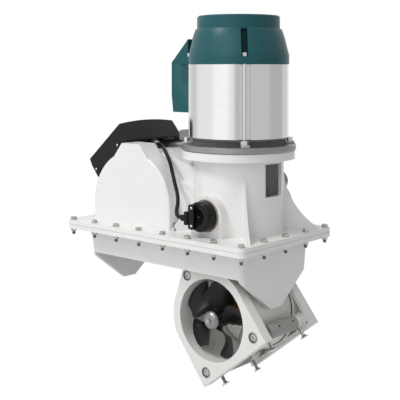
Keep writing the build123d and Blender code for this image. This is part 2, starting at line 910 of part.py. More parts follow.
def tooth_flank(pitch_radius, teeth, scale):
    """Points up one involute flank: half thickness, and height over the pitch line."""
    base = pitch_radius * cos(radians(20))
    spread = tan(radians(20)) - radians(20)
    points = []
    for rise in (-tooth_root * 1.1, -tooth_root * 0.5, 0.0, tooth_top * 0.5, tooth_top):
        radius = pitch_radius + rise
        pressure = acos(min(1.0, base / radius))
        half_angle = pi * tooth_fill / teeth + spread - (tan(pressure) - pressure)
        points.append((radius * sin(half_angle) * scale, (radius * cos(half_angle) - pitch_radius) * scale))
    return points


def bevel_gear(frame, teeth, pitch_radius, mate_radius, bore, first_angle):
    """Straight bevel gear whose cone meets the frame's origin, axis along frame z."""
    cone = atan2(pitch_radius, mate_radius)
    inner = (cone_distance - tooth_face) / cone_distance

    def cone_point(distance, rise):
        """Radius and height of a point on the cone, raised square to it."""
        return (
            distance * sin(cone) + rise * cos(cone),
            distance * cos(cone) - rise * sin(cone),
        )

    outer_root = cone_point(cone_distance, -tooth_root)
    inner_root = cone_point(cone_distance * inner, -tooth_root * inner)
    back = outer_root[1] + 6.0
    side = Plane(origin=frame.origin, x_dir=frame.x_dir, z_dir=-frame.y_dir)
    with BuildPart() as gear:
        revolve(
            outline(side, [(0, inner_root[1]), inner_root, outer_root, (outer_root[0], back), (0, back)]),
            axis=Axis(frame.origin, frame.z_dir),
        )
        for i in range(teeth):
            turn = radians(first_angle + 360.0 / teeth * i)
            radial = frame.x_dir * cos(turn) + frame.y_dir * sin(turn)
            along = radial * sin(cone) + frame.z_dir * cos(cone)
            up = radial * cos(cone) - frame.z_dir * sin(cone)
            faces = []
            for scale in (1.0, inner):
                place = Plane(
                    origin=frame.origin + along * cone_distance * scale,
                    x_dir=up.cross(along),
                    z_dir=along,
                )
                flank = tooth_flank(pitch_radius / cos(cone), teeth / cos(cone), scale)
                sign = 1 if place.y_dir.dot(up) > 0 else -1
                right = [(x, sign * y) for x, y in flank]
                left = [(-x, sign * y) for x, y in reversed(flank)]
                faces.append(outline(place, right + left))
            loft(faces)
        with BuildSketch(Plane(origin=frame.origin, x_dir=frame.x_dir, z_dir=frame.z_dir)):
            Circle(bore)
        extrude(amount=60, mode=Mode.SUBTRACT)
    return gear.part


bevel_apex = Vector(tunnel_x, 0, tunnel_z)
pinion_frame = Plane(origin=bevel_apex, x_dir=(0, 1, 0), z_dir=(0, 0, 1))
gear_frame = Plane(origin=bevel_apex, x_dir=(0, 0, 1), z_dir=(0, 1, 0))

with BuildPart() as bevel_pinion:
    add(bevel_gear(pinion_frame, pinion_teeth, pinion_pitch, gear_pitch, leg_shaft_radius, 0))
bevel_pinion.part.label = "bevel_pinion"
export_step(bevel_pinion.part, "parts/bevel_pinion.step")

with BuildPart() as bevel_wheel:
    add(bevel_gear(gear_frame, gear_teeth, gear_pitch, pinion_pitch, prop_shaft_radius, 10))
bevel_wheel.part.label = "bevel_wheel"
export_step(bevel_wheel.part, "parts/bevel_wheel.step")

shaft_low = tunnel_z + gear_pitch - 4
head_low = top_bearing_z + 16
head_height = 8.0
head_radius = 17.0
with BuildPart() as leg_shaft:
    extrude(ring(level(shaft_low, swing_axis_x), leg_shaft_radius), amount=head_low - shaft_low)
    extrude(ring(level(head_low, swing_axis_x), head_radius), amount=head_height)
    extrude(block(level(head_low + head_height, swing_axis_x), 40, 2 * tongue_half), amount=30)
    with BuildSketch(athwart(60, swing_axis_x, swing_axis_z)):
        Circle(400)
        Circle(tongue_radius, mode=Mode.SUBTRACT)
        with Locations((0, -260)):
            Rectangle(900, 520, mode=Mode.SUBTRACT)
    extrude(amount=120, mode=Mode.SUBTRACT)
leg_shaft.part.label = "leg_shaft"
export_step(leg_shaft.part, "parts/leg_shaft.step")

prop_rear = -52.0
hub_length = 45.0
anode_length = 11.5
prop_front = prop_rear - hub_length
shaft_front = prop_front - 6.0
shaft_rear = 32.0

with BuildPart() as propeller_shaft:
    extrude(
        ring(athwart(shaft_rear, tunnel_x, tunnel_z), prop_shaft_radius),
        amount=shaft_rear - shaft_front,
    )
propeller_shaft.part.label = "propeller_shaft"
export_step(propeller_shaft.part, "parts/propeller_shaft.step")

with BuildPart() as drive_bearings:
    leg_bearings = (
        (top_bearing_z, top_bearing_radius, 14.0),
        (low_bearing_z - 12, low_bearing_radius, 12.0),
    )
    for z, radius, width in leg_bearings:
        extrude(ring(level(z, swing_axis_x), radius, leg_shaft_radius + running), amount=width)
    for y, radius in ((-20, 17.0), (32, 16.0)):
        extrude(ring(athwart(y, tunnel_x, tunnel_z), radius, prop_shaft_radius + running), amount=10)
drive_bearings.part.label = "drive_bearings"
export_step(drive_bearings.part, "parts/drive_bearings.step")

# Propeller: hub, five broad round-tipped blades, domed anode and its screw
blade_count = 5
blade_tip = 89.0
blade_first = -71.2
blade_y = -72.7
prop_hub_radius = 21.0
blade_sections = [
    # radius, chord, thickness, pitch angle, sweep
    (16.0, 44.0, 7.0, 54.0, 0.0),
    (36.0, 64.7, 6.0, 43.6, 7.8),
    (54.0, 62.1, 5.0, 33.4, 12.5),
    (70.0, 66.0, 4.0, 26.9, 4.2),
    (80.0, 68.0, 3.2, 22.8, -2.9),
    (86.0, 51.4, 2.6, 20.3, -7.1),
    (89.5, 22.0, 2.2, 19.1, -9.2),
]


def blade(angle):
    """One blade, lofted through cambered sections of falling pitch."""
    turn = radians(angle)
    radial = Vector(cos(turn), 0, sin(turn))
    tangent = Vector(-sin(turn), 0, cos(turn))
    sections = []
    for radius, chord, thickness, pitch, sweep_back in blade_sections:
        chord_direction = tangent * cos(radians(pitch)) - Vector(0, 1, 0) * sin(radians(pitch))
        middle = Vector(tunnel_x, blade_y, tunnel_z) + radial * radius + tangent * sweep_back
        half = chord / 2
        with BuildSketch(Plane(origin=middle, x_dir=chord_direction, z_dir=radial)) as face:
            with BuildLine():
                ThreePointArc((-half, 0), (0, thickness * 0.75), (half, 0))
                ThreePointArc((half, 0), (0, -thickness * 0.25), (-half, 0))
            make_face()
        sections.append(face.sketch)
    with BuildPart() as single:
        loft(sections)
    return single.part


with BuildPart() as propeller:
    for i in range(blade_count):
        add(blade(360.0 / blade_count * i + blade_first))
    extrude(
        ring(athwart(0, tunnel_x, tunnel_z), 150, blade_tip),
        amount=150,
        mode=Mode.SUBTRACT,
    )
    extrude(ring(athwart(prop_rear, tunnel_x, tunnel_z), prop_hub_radius), amount=hub_length)
    extrude(
        ring(athwart(0, tunnel_x, tunnel_z), prop_shaft_radius),
        amount=150,
        mode=Mode.SUBTRACT,
    )
propeller.part.label = "propeller"
export_step(propeller.part, "parts/propeller.step")

anode_front = prop_front - anode_length
anode_face = 7.0
anode_skirt = 3.0
with BuildPart() as propeller_anode:
    with BuildSketch(section(tunnel_x, tunnel_z)):
        with BuildLine():
            Line((prop_front, 0), (prop_front, prop_hub_radius))
            Line((prop_front, prop_hub_radius), (prop_front - anode_skirt, prop_hub_radius))
            ThreePointArc(
                (prop_front - anode_skirt, prop_hub_radius),
                (anode_front + 2.6, 15.5),
                (anode_front, anode_face),
            )
            Line((anode_front, anode_face), (anode_front, 0))
            Line((anode_front, 0), (prop_front, 0))
        make_face()
    revolve(axis=tunnel_axis)
    extrude(
        ring(athwart(0, tunnel_x, tunnel_z), prop_shaft_radius + seat / 10),
        amount=-shaft_front + seat / 10,
        mode=Mode.SUBTRACT,
    )
propeller_anode.part.label = "propeller_anode"
export_step(propeller_anode.part, "parts/propeller_anode.step")

anode_screw_height = 3.5
anode_screw_across_flats = 9.0
with BuildPart() as anode_screw:
    extrude(
        hexagon(athwart(anode_front, tunnel_x, tunnel_z), anode_screw_across_flats),
        amount=anode_screw_height,
    )
anode_screw.part.label = "anode_screw"
export_step(anode_screw.part, "parts/anode_screw.step")

# Tunnel tube with the slot that the leg passes through, and a lug for the tilt link
tube_outer = tunnel_bore_radius + tunnel_wall
tube_socket = 6.0
leg_reach = 16.0
leg_slot_half = 34.0
coupler_angle = 27.0
coupler_radius = 110.0
link_y = 37.0
link_thickness = 8.0
link_pin_radius = 5.0
lug_y = link_y + link_thickness / 2 + 1.0
lug_thickness = 8.0
coupler_x = coupler_radius * cos(radians(coupler_angle))
coupler_z = coupler_radius * sin(radians(coupler_angle))

with BuildPart() as tunnel_tube:
    tube_half = plate_inner + tube_socket
    extrude(ring(tunnel_plane(tube_half), tube_outer), amount=2 * tube_half)
    with BuildSketch(tunnel_plane(lug_y + lug_thickness)):
        with Locations((coupler_x, coupler_z)):
            Circle(11)
        with Locations(Location((coupler_x * 0.9, coupler_z * 0.9, 0), coupler_angle)):
            Rectangle(24, 22)
    extrude(amount=lug_thickness)
    extrude(
        ring(tunnel_plane(tube_half), tunnel_bore_radius),
        amount=2 * tube_half,
        mode=Mode.SUBTRACT,
    )
    slot_edges = [-leg_reach, 15, 45, 90 - tilt_angle + leg_reach]
    slot_points = [(0, 0)] + [(140 * cos(radians(a)), 140 * sin(radians(a))) for a in slot_edges]
    extrude(
        outline(tunnel_plane(leg_slot_half), slot_points),
        amount=2 * leg_slot_half,
        mode=Mode.SUBTRACT,
    )
    with BuildSketch(tunnel_plane(lug_y + lug_thickness)):
        with Locations((coupler_x, coupler_z)):
            Circle(link_pin_radius + seat)
    extrude(amount=lug_thickness, mode=Mode.SUBTRACT)
tunnel_tube.part.label = "tunnel_tube"
export_step(tunnel_tube.part, "parts/tunnel_tube.step")

rod_places = [(0.0, ear_height), (low_rod_offset, low_rod_height), (-low_rod_offset, low_rod_height)]
recess_radius = 10.0
recess_depth = 6.0
rod_boss_radius = 17.0


def plate_outline(plane, inset):
    """Flat-bottomed plate with an arched top and an ear for the top tie rod."""
    reach = asin((plate_arc_radius - ear_radius) / ear_height)
    arc_x = plate_arc_radius * cos(reach)
    arc_z = plate_arc_radius * sin(reach)
    ear_x = ear_radius * cos(reach)
    ear_z = ear_height + ear_radius * sin(reach)
    with BuildSketch(plane) as face:
        Circle(plate_arc_radius)
        with BuildLine():
            Polyline((-arc_x, arc_z), (-ear_x, ear_z), (ear_x, ear_z), (arc_x, arc_z), close=True)
        make_face()
        with Locations((0, ear_height)):
            Circle(ear_radius)
        with Locations((0, -plate_bottom / 2 + 12)):
            Rectangle(2 * plate_half_width, plate_bottom + 24)
        with Locations((0, -plate_bottom - 50)):
            Rectangle(400, 100, mode=Mode.SUBTRACT)
        for side in (-1, 1):
            with Locations((side * (plate_half_width + 50), 0)):
                Rectangle(100, 400, mode=Mode.SUBTRACT)
        if inset > 0:
            offset(amount=-inset, mode=Mode.REPLACE)
    return face.sketch


def tunnel_end_plate(side):
    """Plate at one mouth of the tunnel, ribbed hollow on its inner side."""
    outer_y = tunnel_half if side > 0 else -plate_inner
    with BuildPart() as plate:
        extrude(plate_outline(tunnel_plane(outer_y), 0), amount=plate_thickness)
        pocket_start = plate_inner + plate_thickness - plate_web if side > 0 else -plate_inner
        with BuildSketch(tunnel_plane(pocket_start)) as pocket:
            add(plate_outline(Plane.XY, plate_rim))
            Circle(tube_outer + 7, mode=Mode.SUBTRACT)
            with Locations(*rod_places):
                Circle(rod_boss_radius, mode=Mode.SUBTRACT)
            with Locations((0, -plate_bottom / 2)):
                Rectangle(8, plate_bottom, mode=Mode.SUBTRACT)
        extrude(amount=plate_thickness - plate_web, mode=Mode.SUBTRACT)
        extrude(ring(tunnel_plane(outer_y), tunnel_bore_radius), amount=plate_thickness, mode=Mode.SUBTRACT)
        socket_start = plate_inner + tube_socket if side > 0 else -plate_inner
        extrude(ring(tunnel_plane(socket_start), tube_outer + seat), amount=tube_socket, mode=Mode.SUBTRACT)
        recess_start = tunnel_half if side > 0 else -tunnel_half + recess_depth
        for x, z in rod_places:
            with BuildSketch(tunnel_plane(outer_y)):
                with Locations((x, z)):
                    Circle(rod_diameter / 2 + seat)
            extrude(amount=plate_thickness, mode=Mode.SUBTRACT)
            with BuildSketch(tunnel_plane(recess_start)):
                with Locations((x, z)):
                    Circle(recess_radius)
            extrude(amount=recess_depth, mode=Mode.SUBTRACT)
    return plate.part


with BuildPart() as front_tunnel_plate:
    add(tunnel_end_plate(front))
front_tunnel_plate.part.label = "front_tunnel_plate"
export_step(front_tunnel_plate.part, "parts/front_tunnel_plate.step")

with BuildPart() as rear_tunnel_plate:
    add(tunnel_end_plate(rear))
rear_tunnel_plate.part.label = "rear_tunnel_plate"
export_step(rear_tunnel_plate.part, "parts/rear_tunnel_plate.step")

rod_seat = tunnel_half - recess_depth
rod_head_radius = 9.0
rod_head_height = 4.5

with BuildPart() as tunnel_tie_rods:
    for x, z in rod_places:
        with BuildSketch(tunnel_plane(rod_seat)):
            with Locations((x, z)):
                Circle(rod_diameter / 2)
        extrude(amount=2 * rod_seat)
        with BuildSketch(tunnel_plane(-rod_seat)):
            with Locations((x, z)):
                Circle(rod_head_radius)
        extrude(amount=rod_head_height)
        with BuildSketch(tunnel_plane(rod_seat + rod_head_height)):
            with Locations((x, z)):
                RegularPolygon(rod_head_radius, 6)
        extrude(amount=rod_head_height)
tunnel_tie_rods.part.label = "tunnel_tie_rods"
export_step(tunnel_tie_rods.part, "parts/tunnel_tie_rods.step")

# Sleeves on the low tie rods carry the four studs that hold the hull hatch
sleeve_front = -70.0
stud_root = low_rod_height - sleeve_diameter / 2 + 9.0
stud_head_height = 5.0
stud_head_radius = 11.0

with BuildPart() as hatch_sleeves:
    for x, z in rod_places[1:]:
        with BuildSketch(tunnel_plane(plate_inner)):
            with Locations((x, z)):
                Circle(sleeve_diameter / 2)
                Circle(rod_diameter / 2 + seat, mode=Mode.SUBTRACT)
        extrude(amount=plate_inner - sleeve_front)
    for x in (-low_rod_offset, low_rod_offset):
        for y in (-hatch_stud_offset_y, hatch_stud_offset_y):
            px, pz = tunnel_point(x, stud_root)
            down = (sin(radians(tilt_angle)), 0, -cos(radians(tilt_angle)))
            with BuildSketch(Plane(origin=(px, y, pz), x_dir=(0, 1, 0), z_dir=down)):
                Circle(hatch_stud_diameter / 2 + seat)
            extrude(amount=20, mode=Mode.SUBTRACT)
hatch_sleeves.part.label = "hatch_sleeves"
export_step(hatch_sleeves.part, "parts/hatch_sleeves.step")

with BuildPart() as hatch_studs:
    for x in (-low_rod_offset, low_rod_offset):
        for y in (-hatch_stud_offset_y, hatch_stud_offset_y):
            px, pz = tunnel_point(x, stud_root)
            down = (sin(radians(tilt_angle)), 0, -cos(radians(tilt_angle)))
            with BuildSketch(Plane(origin=(px, y, pz), x_dir=(0, 1, 0), z_dir=down)):
                Circle(hatch_stud_diameter / 2)
            extrude(amount=hatch_stud_reach + stud_root)
            hx, hz = tunnel_point(x, -hatch_stud_reach + stud_head_height)
            with BuildSketch(Plane(origin=(hx, y, hz), x_dir=(0, 1, 0), z_dir=down)):
                Circle(hatch_stud_diameter / 2)
            ex, ez = tunnel_point(x, -hatch_stud_reach + 1)
            with BuildSketch(Plane(origin=(ex, y, ez), x_dir=(0, 1, 0), z_dir=down)):
                Circle(stud_head_radius)
            loft()
            with BuildSketch(Plane(origin=(ex, y, ez), x_dir=(0, 1, 0), z_dir=down)):
                Circle(stud_head_radius)
            extrude(amount=1)
hatch_studs.part.label = "hatch_studs"
export_step(hatch_studs.part, "parts/hatch_studs.step")

# Spider that carries the tunnel on the gearcase, three vanes from hub to rim
spider_front = 40.0
spider_rear = 60.0
with BuildPart() as tunnel_spider:
    extrude(ring(tunnel_plane(spider_rear), 30.0), amount=spider_rear - spider_front)
    with BuildSketch(tunnel_plane(spider_rear - 3)):
        for i in range(3):
            with Locations(Location((0, 0, 0), 90 + 120 * i)):
                with Locations((57, 0)):
                    Rectangle(66, 6)
    extrude(amount=spider_rear - spider_front - 6)
    extrude(
        ring(tunnel_plane(spider_rear), tunnel_bore_radius - seat, tunnel_bore_radius - 4.0),
        amount=spider_rear - spider_front,
    )
    extrude(ring(tunnel_plane(spider_rear + 5), stub_radius + running), amount=60, mode=Mode.SUBTRACT)
tunnel_spider.part.label = "tunnel_spider"
export_step(tunnel_spider.part, "parts/tunnel_spider.step")

with BuildPart() as spider_retainer:
    extrude(ring(tunnel_plane(stub_end + 4), 26.0), amount=4)
spider_retainer.part.label = "spider_retainer"
export_step(spider_retainer.part, "parts/spider_retainer.step")

# Tilt link from a fixed pivot in the column to the tunnel's lug. It is cranked, so
# that it passes round the swing pin over the whole swing.
link_pivot_x = 159.9
link_pivot_z = 97.8
link_eye_radius = 9.5
link_width = 13.0
link_travel = 102.66
coupler_slack = 1.3
coupler_out = tunnel_point(coupler_x, coupler_z)
link_run_x = coupler_out[0] - link_pivot_x
link_run_z = coupler_out[1] - link_pivot_z
link_run = hypot(link_run_x, link_run_z)
link_lie = degrees(atan2(link_run_z, link_run_x))
pivot_distance = hypot(swing_axis_x - link_pivot_x, swing_axis_z - link_pivot_z)
crank_reach = pivot_distance + pin_radius + link_width / 2 + 3.7
crank_corners = [(8.0, -crank_reach + 0.5), (0.77 * crank_reach, -0.77 * crank_reach)]

link_path = [(0, 0), *crank_corners, (link_run, 0)]

with BuildPart() as tilt_link:
    with BuildSketch(athwart(link_y + link_thickness / 2, link_pivot_x, link_pivot_z, link_lie)):
        for (x0, z0), (x1, z1) in zip(link_path, link_path[1:]):
            middle = ((x0 + x1) / 2, (z0 + z1) / 2, 0)
            with Locations(Location(middle, degrees(atan2(z1 - z0, x1 - x0)))):
                Rectangle(hypot(x1 - x0, z1 - z0), link_width)
        with Locations(*crank_corners):
            Circle(link_width / 2)
        for x in (0, link_run):
            with Locations((x, 0)):
                Circle(link_eye_radius)
        Circle(link_pin_radius + running, mode=Mode.SUBTRACT)
        with Locations((link_run, 0)):
            Circle(link_pin_radius + coupler_slack, mode=Mode.SUBTRACT)
    extrude(amount=link_thickness)
tilt_link.part.label = "tilt_link"
export_step(tilt_link.part, "parts/tilt_link.step")

with BuildPart() as coupler_pin:
    with BuildSketch(tunnel_plane(lug_y + lug_thickness)):
        with Locations((coupler_x, coupler_z)):
            Circle(link_pin_radius)
    extrude(amount=lug_thickness + link_thickness + 2)
    with BuildSketch(tunnel_plane(link_y - link_thickness / 2 - 1)):
        with Locations((coupler_x, coupler_z)):
            Circle(7.5)
    extrude(amount=1.5)
coupler_pin.part.label = "coupler_pin"
export_step(coupler_pin.part, "parts/coupler_pin.step")

bracket_y = link_y + link_thickness / 2 + 1.0
bracket_thickness = 8.0
bracket_foot = 26.0
with BuildPart() as link_bracket:
    with BuildSketch(athwart(bracket_y + bracket_thickness, link_pivot_x, link_pivot_z)):
        Circle(11)
        with Locations((0, (column_roof - link_pivot_z) / 2)):
            Rectangle(22, column_roof - link_pivot_z)
    extrude(amount=bracket_thickness)
    with Locations((link_pivot_x, bracket_y + bracket_foot / 2 + bracket_thickness, column_roof - 3)):
        Box(22, bracket_foot, 6)
    extrude(
        ring(athwart(bracket_y, link_pivot_x, link_pivot_z), link_pin_radius),
        amount=link_thickness + 2 * 1.0,
    )
    extrude(ring(athwart(link_y - link_thickness / 2 - 1, link_pivot_x, link_pivot_z), 7.5), amount=1.5)
link_bracket.part.label = "link_bracket"
export_step(link_bracket.part, "parts/link_bracket.step")

# Swing sensor on the front of the boss: gasket, round body, connector and plug
sensor_face = -boss_face - 2.5
sensor_front = -boss_face - 28.0
sensor_radius = 33.5
with BuildPart() as sensor_gasket:
    extrude(ring(athwart(-boss_face, swing_axis_x, swing_axis_z), 36.5, bush_radius), amount=2.5)
sensor_gasket.part.label = "sensor_gasket"
export_step(sensor_gasket.part, "parts/sensor_gasket.step")

connector_rise = 8.0
with BuildPart() as swing_sensor:
    shape = [
        (sensor_face, 0),
        (sensor_face, sensor_radius),
        (sensor_front + 5, sensor_radius),
        (sensor_front + 1.5, sensor_radius - 1.5),
        (sensor_front, sensor_radius - 5),
        (sensor_front, 17),
        (sensor_front + 3, 14),
        (sensor_front + 3, 0),
    ]
    revolve(outline(section(swing_axis_x, swing_axis_z), shape), axis=swing_axis)
    with BuildSketch(athwart(sensor_front + 4, swing_axis_x, swing_axis_z)):
        with Locations((-14, 0)):
            RectangleRounded(16, 56, 6)
    extrude(amount=4 + connector_rise)
swing_sensor.part.label = "swing_sensor"
export_step(swing_sensor.part, "parts/swing_sensor.step")

plug_half = 5.5
plug_y = sensor_front - clear - plug_half
plug_z = swing_axis_z - 4
plug_end = swing_axis_x - 42
with BuildPart() as sensor_plug:
    with BuildSketch(athwart(plug_y + plug_half, swing_axis_x, plug_z)):
        with Locations((-27, 0)):
            RectangleRounded(10, 30, 3)
        with Locations((-35, 0)):
            Rectangle(14, 14)
    extrude(amount=2 * plug_half)
sensor_plug.part.label = "sensor_plug"
export_step(sensor_plug.part, "parts/sensor_plug.step")

with BuildPart() as sensor_screws:
    for z in (-20, 20):
        extrude(
            ring(athwart(sensor_front - connector_rise, swing_axis_x - 12, swing_axis_z + z), 3.5),
            amount=2.5,
        )
    extrude(ring(athwart(sensor_front + 3, swing_axis_x, swing_axis_z), 2.5), amount=1.5)
sensor_screws.part.label = "sensor_screws"
export_step(sensor_screws.part, "parts/sensor_screws.step")

# Control box on the roof of the doghouse
control_half = 97.0
control_shape = [
    (-169, 261), (-278, 166), (-269, 147), (-247.5, 121), (-229, 140), (-206, 162),
    (-173, 186), (-171, 197), (-150, 204), (-135.5, 221),
]


def grown(points, amount):
    """Outline moved square to its sides; negative amounts move it inwards."""
    with BuildSketch(Plane.XY) as face:
        with BuildLine():
            Polyline(*points, close=True)
        make_face()
        offset(amount=amount, kind=Kind.INTERSECTION, mode=Mode.REPLACE)
    return face.sketch


control_wall = 3.0
control_crown = 5.0
slab_run = Vector(-278 + 169, 0, 166 - 261).normalized()
slab_up = Vector(slab_run.Z, 0, -slab_run.X)
lift = (slab_up.X * control_wall, slab_up.Z * control_wall)


def box_shell(half, amount):
    """Solid of the control box between two planes, its outer face crowned across Y."""
    sections = []
    for share in (1.0, 0.6, 0.2, -0.2, -0.6, -1.0):
        rise = control_crown * (1 - share**2)
        lifted = [
            (x - slab_up.X * rise, z - slab_up.Z * rise) if i < 2 else (x, z)
            for i, (x, z) in enumerate(control_shape)
        ]
        with BuildSketch(athwart(share * half)) as face:
            add(grown(lifted, amount) if amount else outline(Plane.XY, lifted))
        sections.append(face.sketch)
    with BuildPart() as shell:
        loft(sections)
    return shell.part


def base_face(y):
    """Strip along the underside of the control box."""
    with BuildSketch(athwart(y)) as face:
        add(outline(Plane.XY, control_shape))
        add(outline(Plane.XY, [(x + lift[0], z + lift[1]) for x, z in control_shape]), mode=Mode.SUBTRACT)
    return face.sketch


gland_start = Vector(-150.0, -5.0, 214.0)
gland_direction = Vector(1.0, -0.35, -0.12).normalized()
gland_radius = 8.0
gland_length = 28.0
ferrule_length = 16.0
cable_radius = 4.5
power_y = 30.0
power_z = 216.0
power_radius = 6.0
power_spacing = 18.0

power_route = [
    (-152, power_y, power_z),
    (-124, power_y, power_z - 3),
    (-98, power_y - 4, power_z - 2),
    (-74, power_y - 12, power_z + 4),
    (-56, power_y - 16, power_z + 10),
    (-42, power_y - 16, power_z + 10),
]


def gland_plane(distance):
    """Plane square to the gland's axis, a distance along it."""
    return Plane(origin=gland_start + gland_direction * distance, z_dir=gland_direction)


def outlets():
    """Planes and radii of the three cable holes in the control box."""
    holes = [(gland_plane(-1), gland_radius + seat)]
    for i in range(2):
        shift = Vector(0, i * power_spacing, 0)
        first = Vector(*power_route[0]) + shift
        onward = Vector(*power_route[1]) + shift - first
        holes.append((Plane(origin=first - onward.normalized(), z_dir=onward), power_radius + seat))
    return holes


with BuildPart() as control_box_cover:
    add(box_shell(control_half, 0))
    add(box_shell(control_half - control_wall, -control_wall), mode=Mode.SUBTRACT)
    extrude(
        base_face(control_half - control_wall),
        amount=2 * (control_half - control_wall),
        mode=Mode.SUBTRACT,
    )
    for outlet, radius in outlets():
        extrude(ring(outlet, radius), amount=30, mode=Mode.SUBTRACT)
control_box_cover.part.label = "control_box_cover"
export_step(control_box_cover.part, "parts/control_box_cover.step")

with BuildPart() as control_box_base:
    extrude(base_face(control_half - control_wall - seat), amount=2 * (control_half - control_wall - seat))
    for outlet, radius in outlets():
        extrude(ring(outlet, radius), amount=30, mode=Mode.SUBTRACT)
control_box_base.part.label = "control_box_base"
export_step(control_box_base.part, "parts/control_box_base.step")

with BuildPart() as cable_gland:
    extrude(ring(gland_plane(0), gland_radius), amount=gland_length)
    extrude(ring(gland_plane(17), gland_radius + 2), amount=6)
cable_gland.part.label = "cable_gland"
export_step(cable_gland.part, "parts/cable_gland.step")

with BuildPart() as gland_ferrule:
    extrude(ring(gland_plane(gland_length), 6.5), amount=ferrule_length)
gland_ferrule.part.label = "gland_ferrule"
export_step(gland_ferrule.part, "parts/gland_ferrule.step")

# Terminal block of the motor, over the mount ring on the doghouse side
terminal_left = -42.0
terminal_top = 247.0
with BuildPart() as terminal_block:
    with Locations(((terminal_left + 20) / 2, 16, (ring_top + terminal_top) / 2)):
        Box(20 - terminal_left, 62, terminal_top - ring_top)
    extrude(ring(level(ring_top, swing_axis_x), motor_radius + clear), amount=40, mode=Mode.SUBTRACT)
terminal_block.part.label = "terminal_block"
export_step(terminal_block.part, "parts/terminal_block.step")


def cord_tube(points, radius):
    """Tube along straight runs joined by tangent arcs as large as the runs allow."""
    corners = [Vector(*p) for p in points]
    radii = []
    for before, here, after in zip(corners, corners[1:], corners[2:]):
        turn = (here - before).get_angle(after - here)
        shorter = min((here - before).length, (after - here).length)
        radii.append(0.45 * shorter / tan(radians(turn / 2)))
    print("cord radii", [round(r, 1) for r in radii])
    with BuildLine() as path:
        FilletPolyline(*points, radius=radii)
    start = Plane(origin=corners[0], z_dir=corners[1] - corners[0])
    with BuildPart() as tube:
        with BuildSketch(start):
            Circle(radius)
        sweep(path=path.line)
    length = sum(edge.length for edge in path.line.edges())
    ratio = tube.part.volume / (pi * radius**2 * length)
    print("cord length", round(length, 1), "volume ratio", round(ratio, 4))
    return tube.part


# Sensor cable from the gland over the roof and down to the plug
cable_exit = gland_start + gland_direction * (gland_length + ferrule_length)
cable_second = cable_exit + gland_direction * 24
sensor_route = [
    tuple(cable_exit),
    tuple(cable_second),
    (-50, -58, 199),
    (-14, -80, 178),
    (9, -96, 156),
    (28, -108, 132),
    (52, -124, 110),
    (66, -138, 92),
    (69, -147, 77),
    (76, plug_y, plug_z),
    (plug_end, plug_y, plug_z),
]
with BuildPart() as sensor_cable:
    add(cord_tube(sensor_route, cable_radius))
sensor_cable.part.label = "sensor_cable"
export_step(sensor_cable.part, "parts/sensor_cable.step")

# Two power cables from the control box to the terminal block
with BuildPart() as power_cable_black:
    add(cord_tube(power_route, power_radius))
power_cable_black.part.label = "power_cable_black"
export_step(power_cable_black.part, "parts/power_cable_black.step")

red_route = [(x, y + power_spacing, z) for x, y, z in power_route]
with BuildPart() as power_cable_red:
    add(cord_tube(red_route, power_radius))
power_cable_red.part.label = "power_cable_red"
export_step(power_cable_red.part, "parts/power_cable_red.step")

# Swing drive on the rear of the boss: sector on the pin, pinion, case and flat motor
sector_module = 1.25
sector_teeth = 72
drive_teeth = 12
sector_pitch = sector_module * sector_teeth / 2
drive_pitch = sector_module * drive_teeth / 2
drive_z = swing_axis_z + sector_pitch + drive_pitch
sector_hub_radius = 24.0
drive_shaft_radius = 4.0
drive_case_wall = 3.0
drive_case_radius = 54.0
drive_case_foot = 40.0
drive_case_bulge = 17.0
sector_rear = sector_y + sector_width
case_rear = sector_rear + 5
cover_rear = case_rear + drive_case_wall


def spur_face(plane, teeth, module, angles, root_inner):
    """Toothed wheel or sector; the body fills the given angles."""
    pitch = module * teeth / 2
    half = 360.0 / teeth * 0.45 / 2
    flank = [(-1.35, -1.15), (-0.62, 0.85), (0.62, 0.85), (1.35, -1.15)]
    points = []
    for angle in angles:
        for turn, rise in flank:
            a = radians(angle + half * turn)
            radius = pitch + rise * module
            points.append((radius * cos(a), radius * sin(a)))
    if root_inner:
        points.append((0, 0))
    return outline(plane, points)


with BuildPart() as swing_sector:
    sector_plane = athwart(sector_rear, swing_axis_x, swing_axis_z)
    sector_angles = [80 + 5.0 * i for i in range(23)]
    extrude(
        spur_face(sector_plane, sector_teeth, sector_module, sector_angles, True),
        amount=sector_width,
    )
    extrude(ring(sector_plane, sector_hub_radius), amount=sector_width)
    extrude(ring(sector_plane, pin_radius + seat), amount=sector_width, mode=Mode.SUBTRACT)
swing_sector.part.label = "swing_sector"
export_step(swing_sector.part, "parts/swing_sector.step")

pinion_angles = [-90 + 15 + 30.0 * i for i in range(drive_teeth)]
pinion_shaft_rear = case_rear + 6
pinion_shaft_front = boss_face + 4
with BuildPart() as swing_pinion:
    extrude(
        spur_face(
            athwart(sector_rear, swing_axis_x, drive_z),
            drive_teeth,
            sector_module,
            pinion_angles,
            False,
        ),
        amount=sector_width,
    )
    extrude(
        ring(athwart(pinion_shaft_rear, swing_axis_x, drive_z), drive_shaft_radius),
        amount=pinion_shaft_rear - pinion_shaft_front,
    )
swing_pinion.part.label = "swing_pinion"
export_step(swing_pinion.part, "parts/swing_pinion.step")


def case_face(y, inset):
    """Swing drive case: round over the sector, bulged over the pinion."""
    with BuildSketch(athwart(y, swing_axis_x, swing_axis_z)) as face:
        Circle(drive_case_radius - inset)
        with Locations((0, -150 - (drive_case_foot - inset))):
            Rectangle(300, 300, mode=Mode.SUBTRACT)
        with Locations((0, drive_z - swing_axis_z)):
            Circle(drive_case_bulge - inset)
    return face.sketch


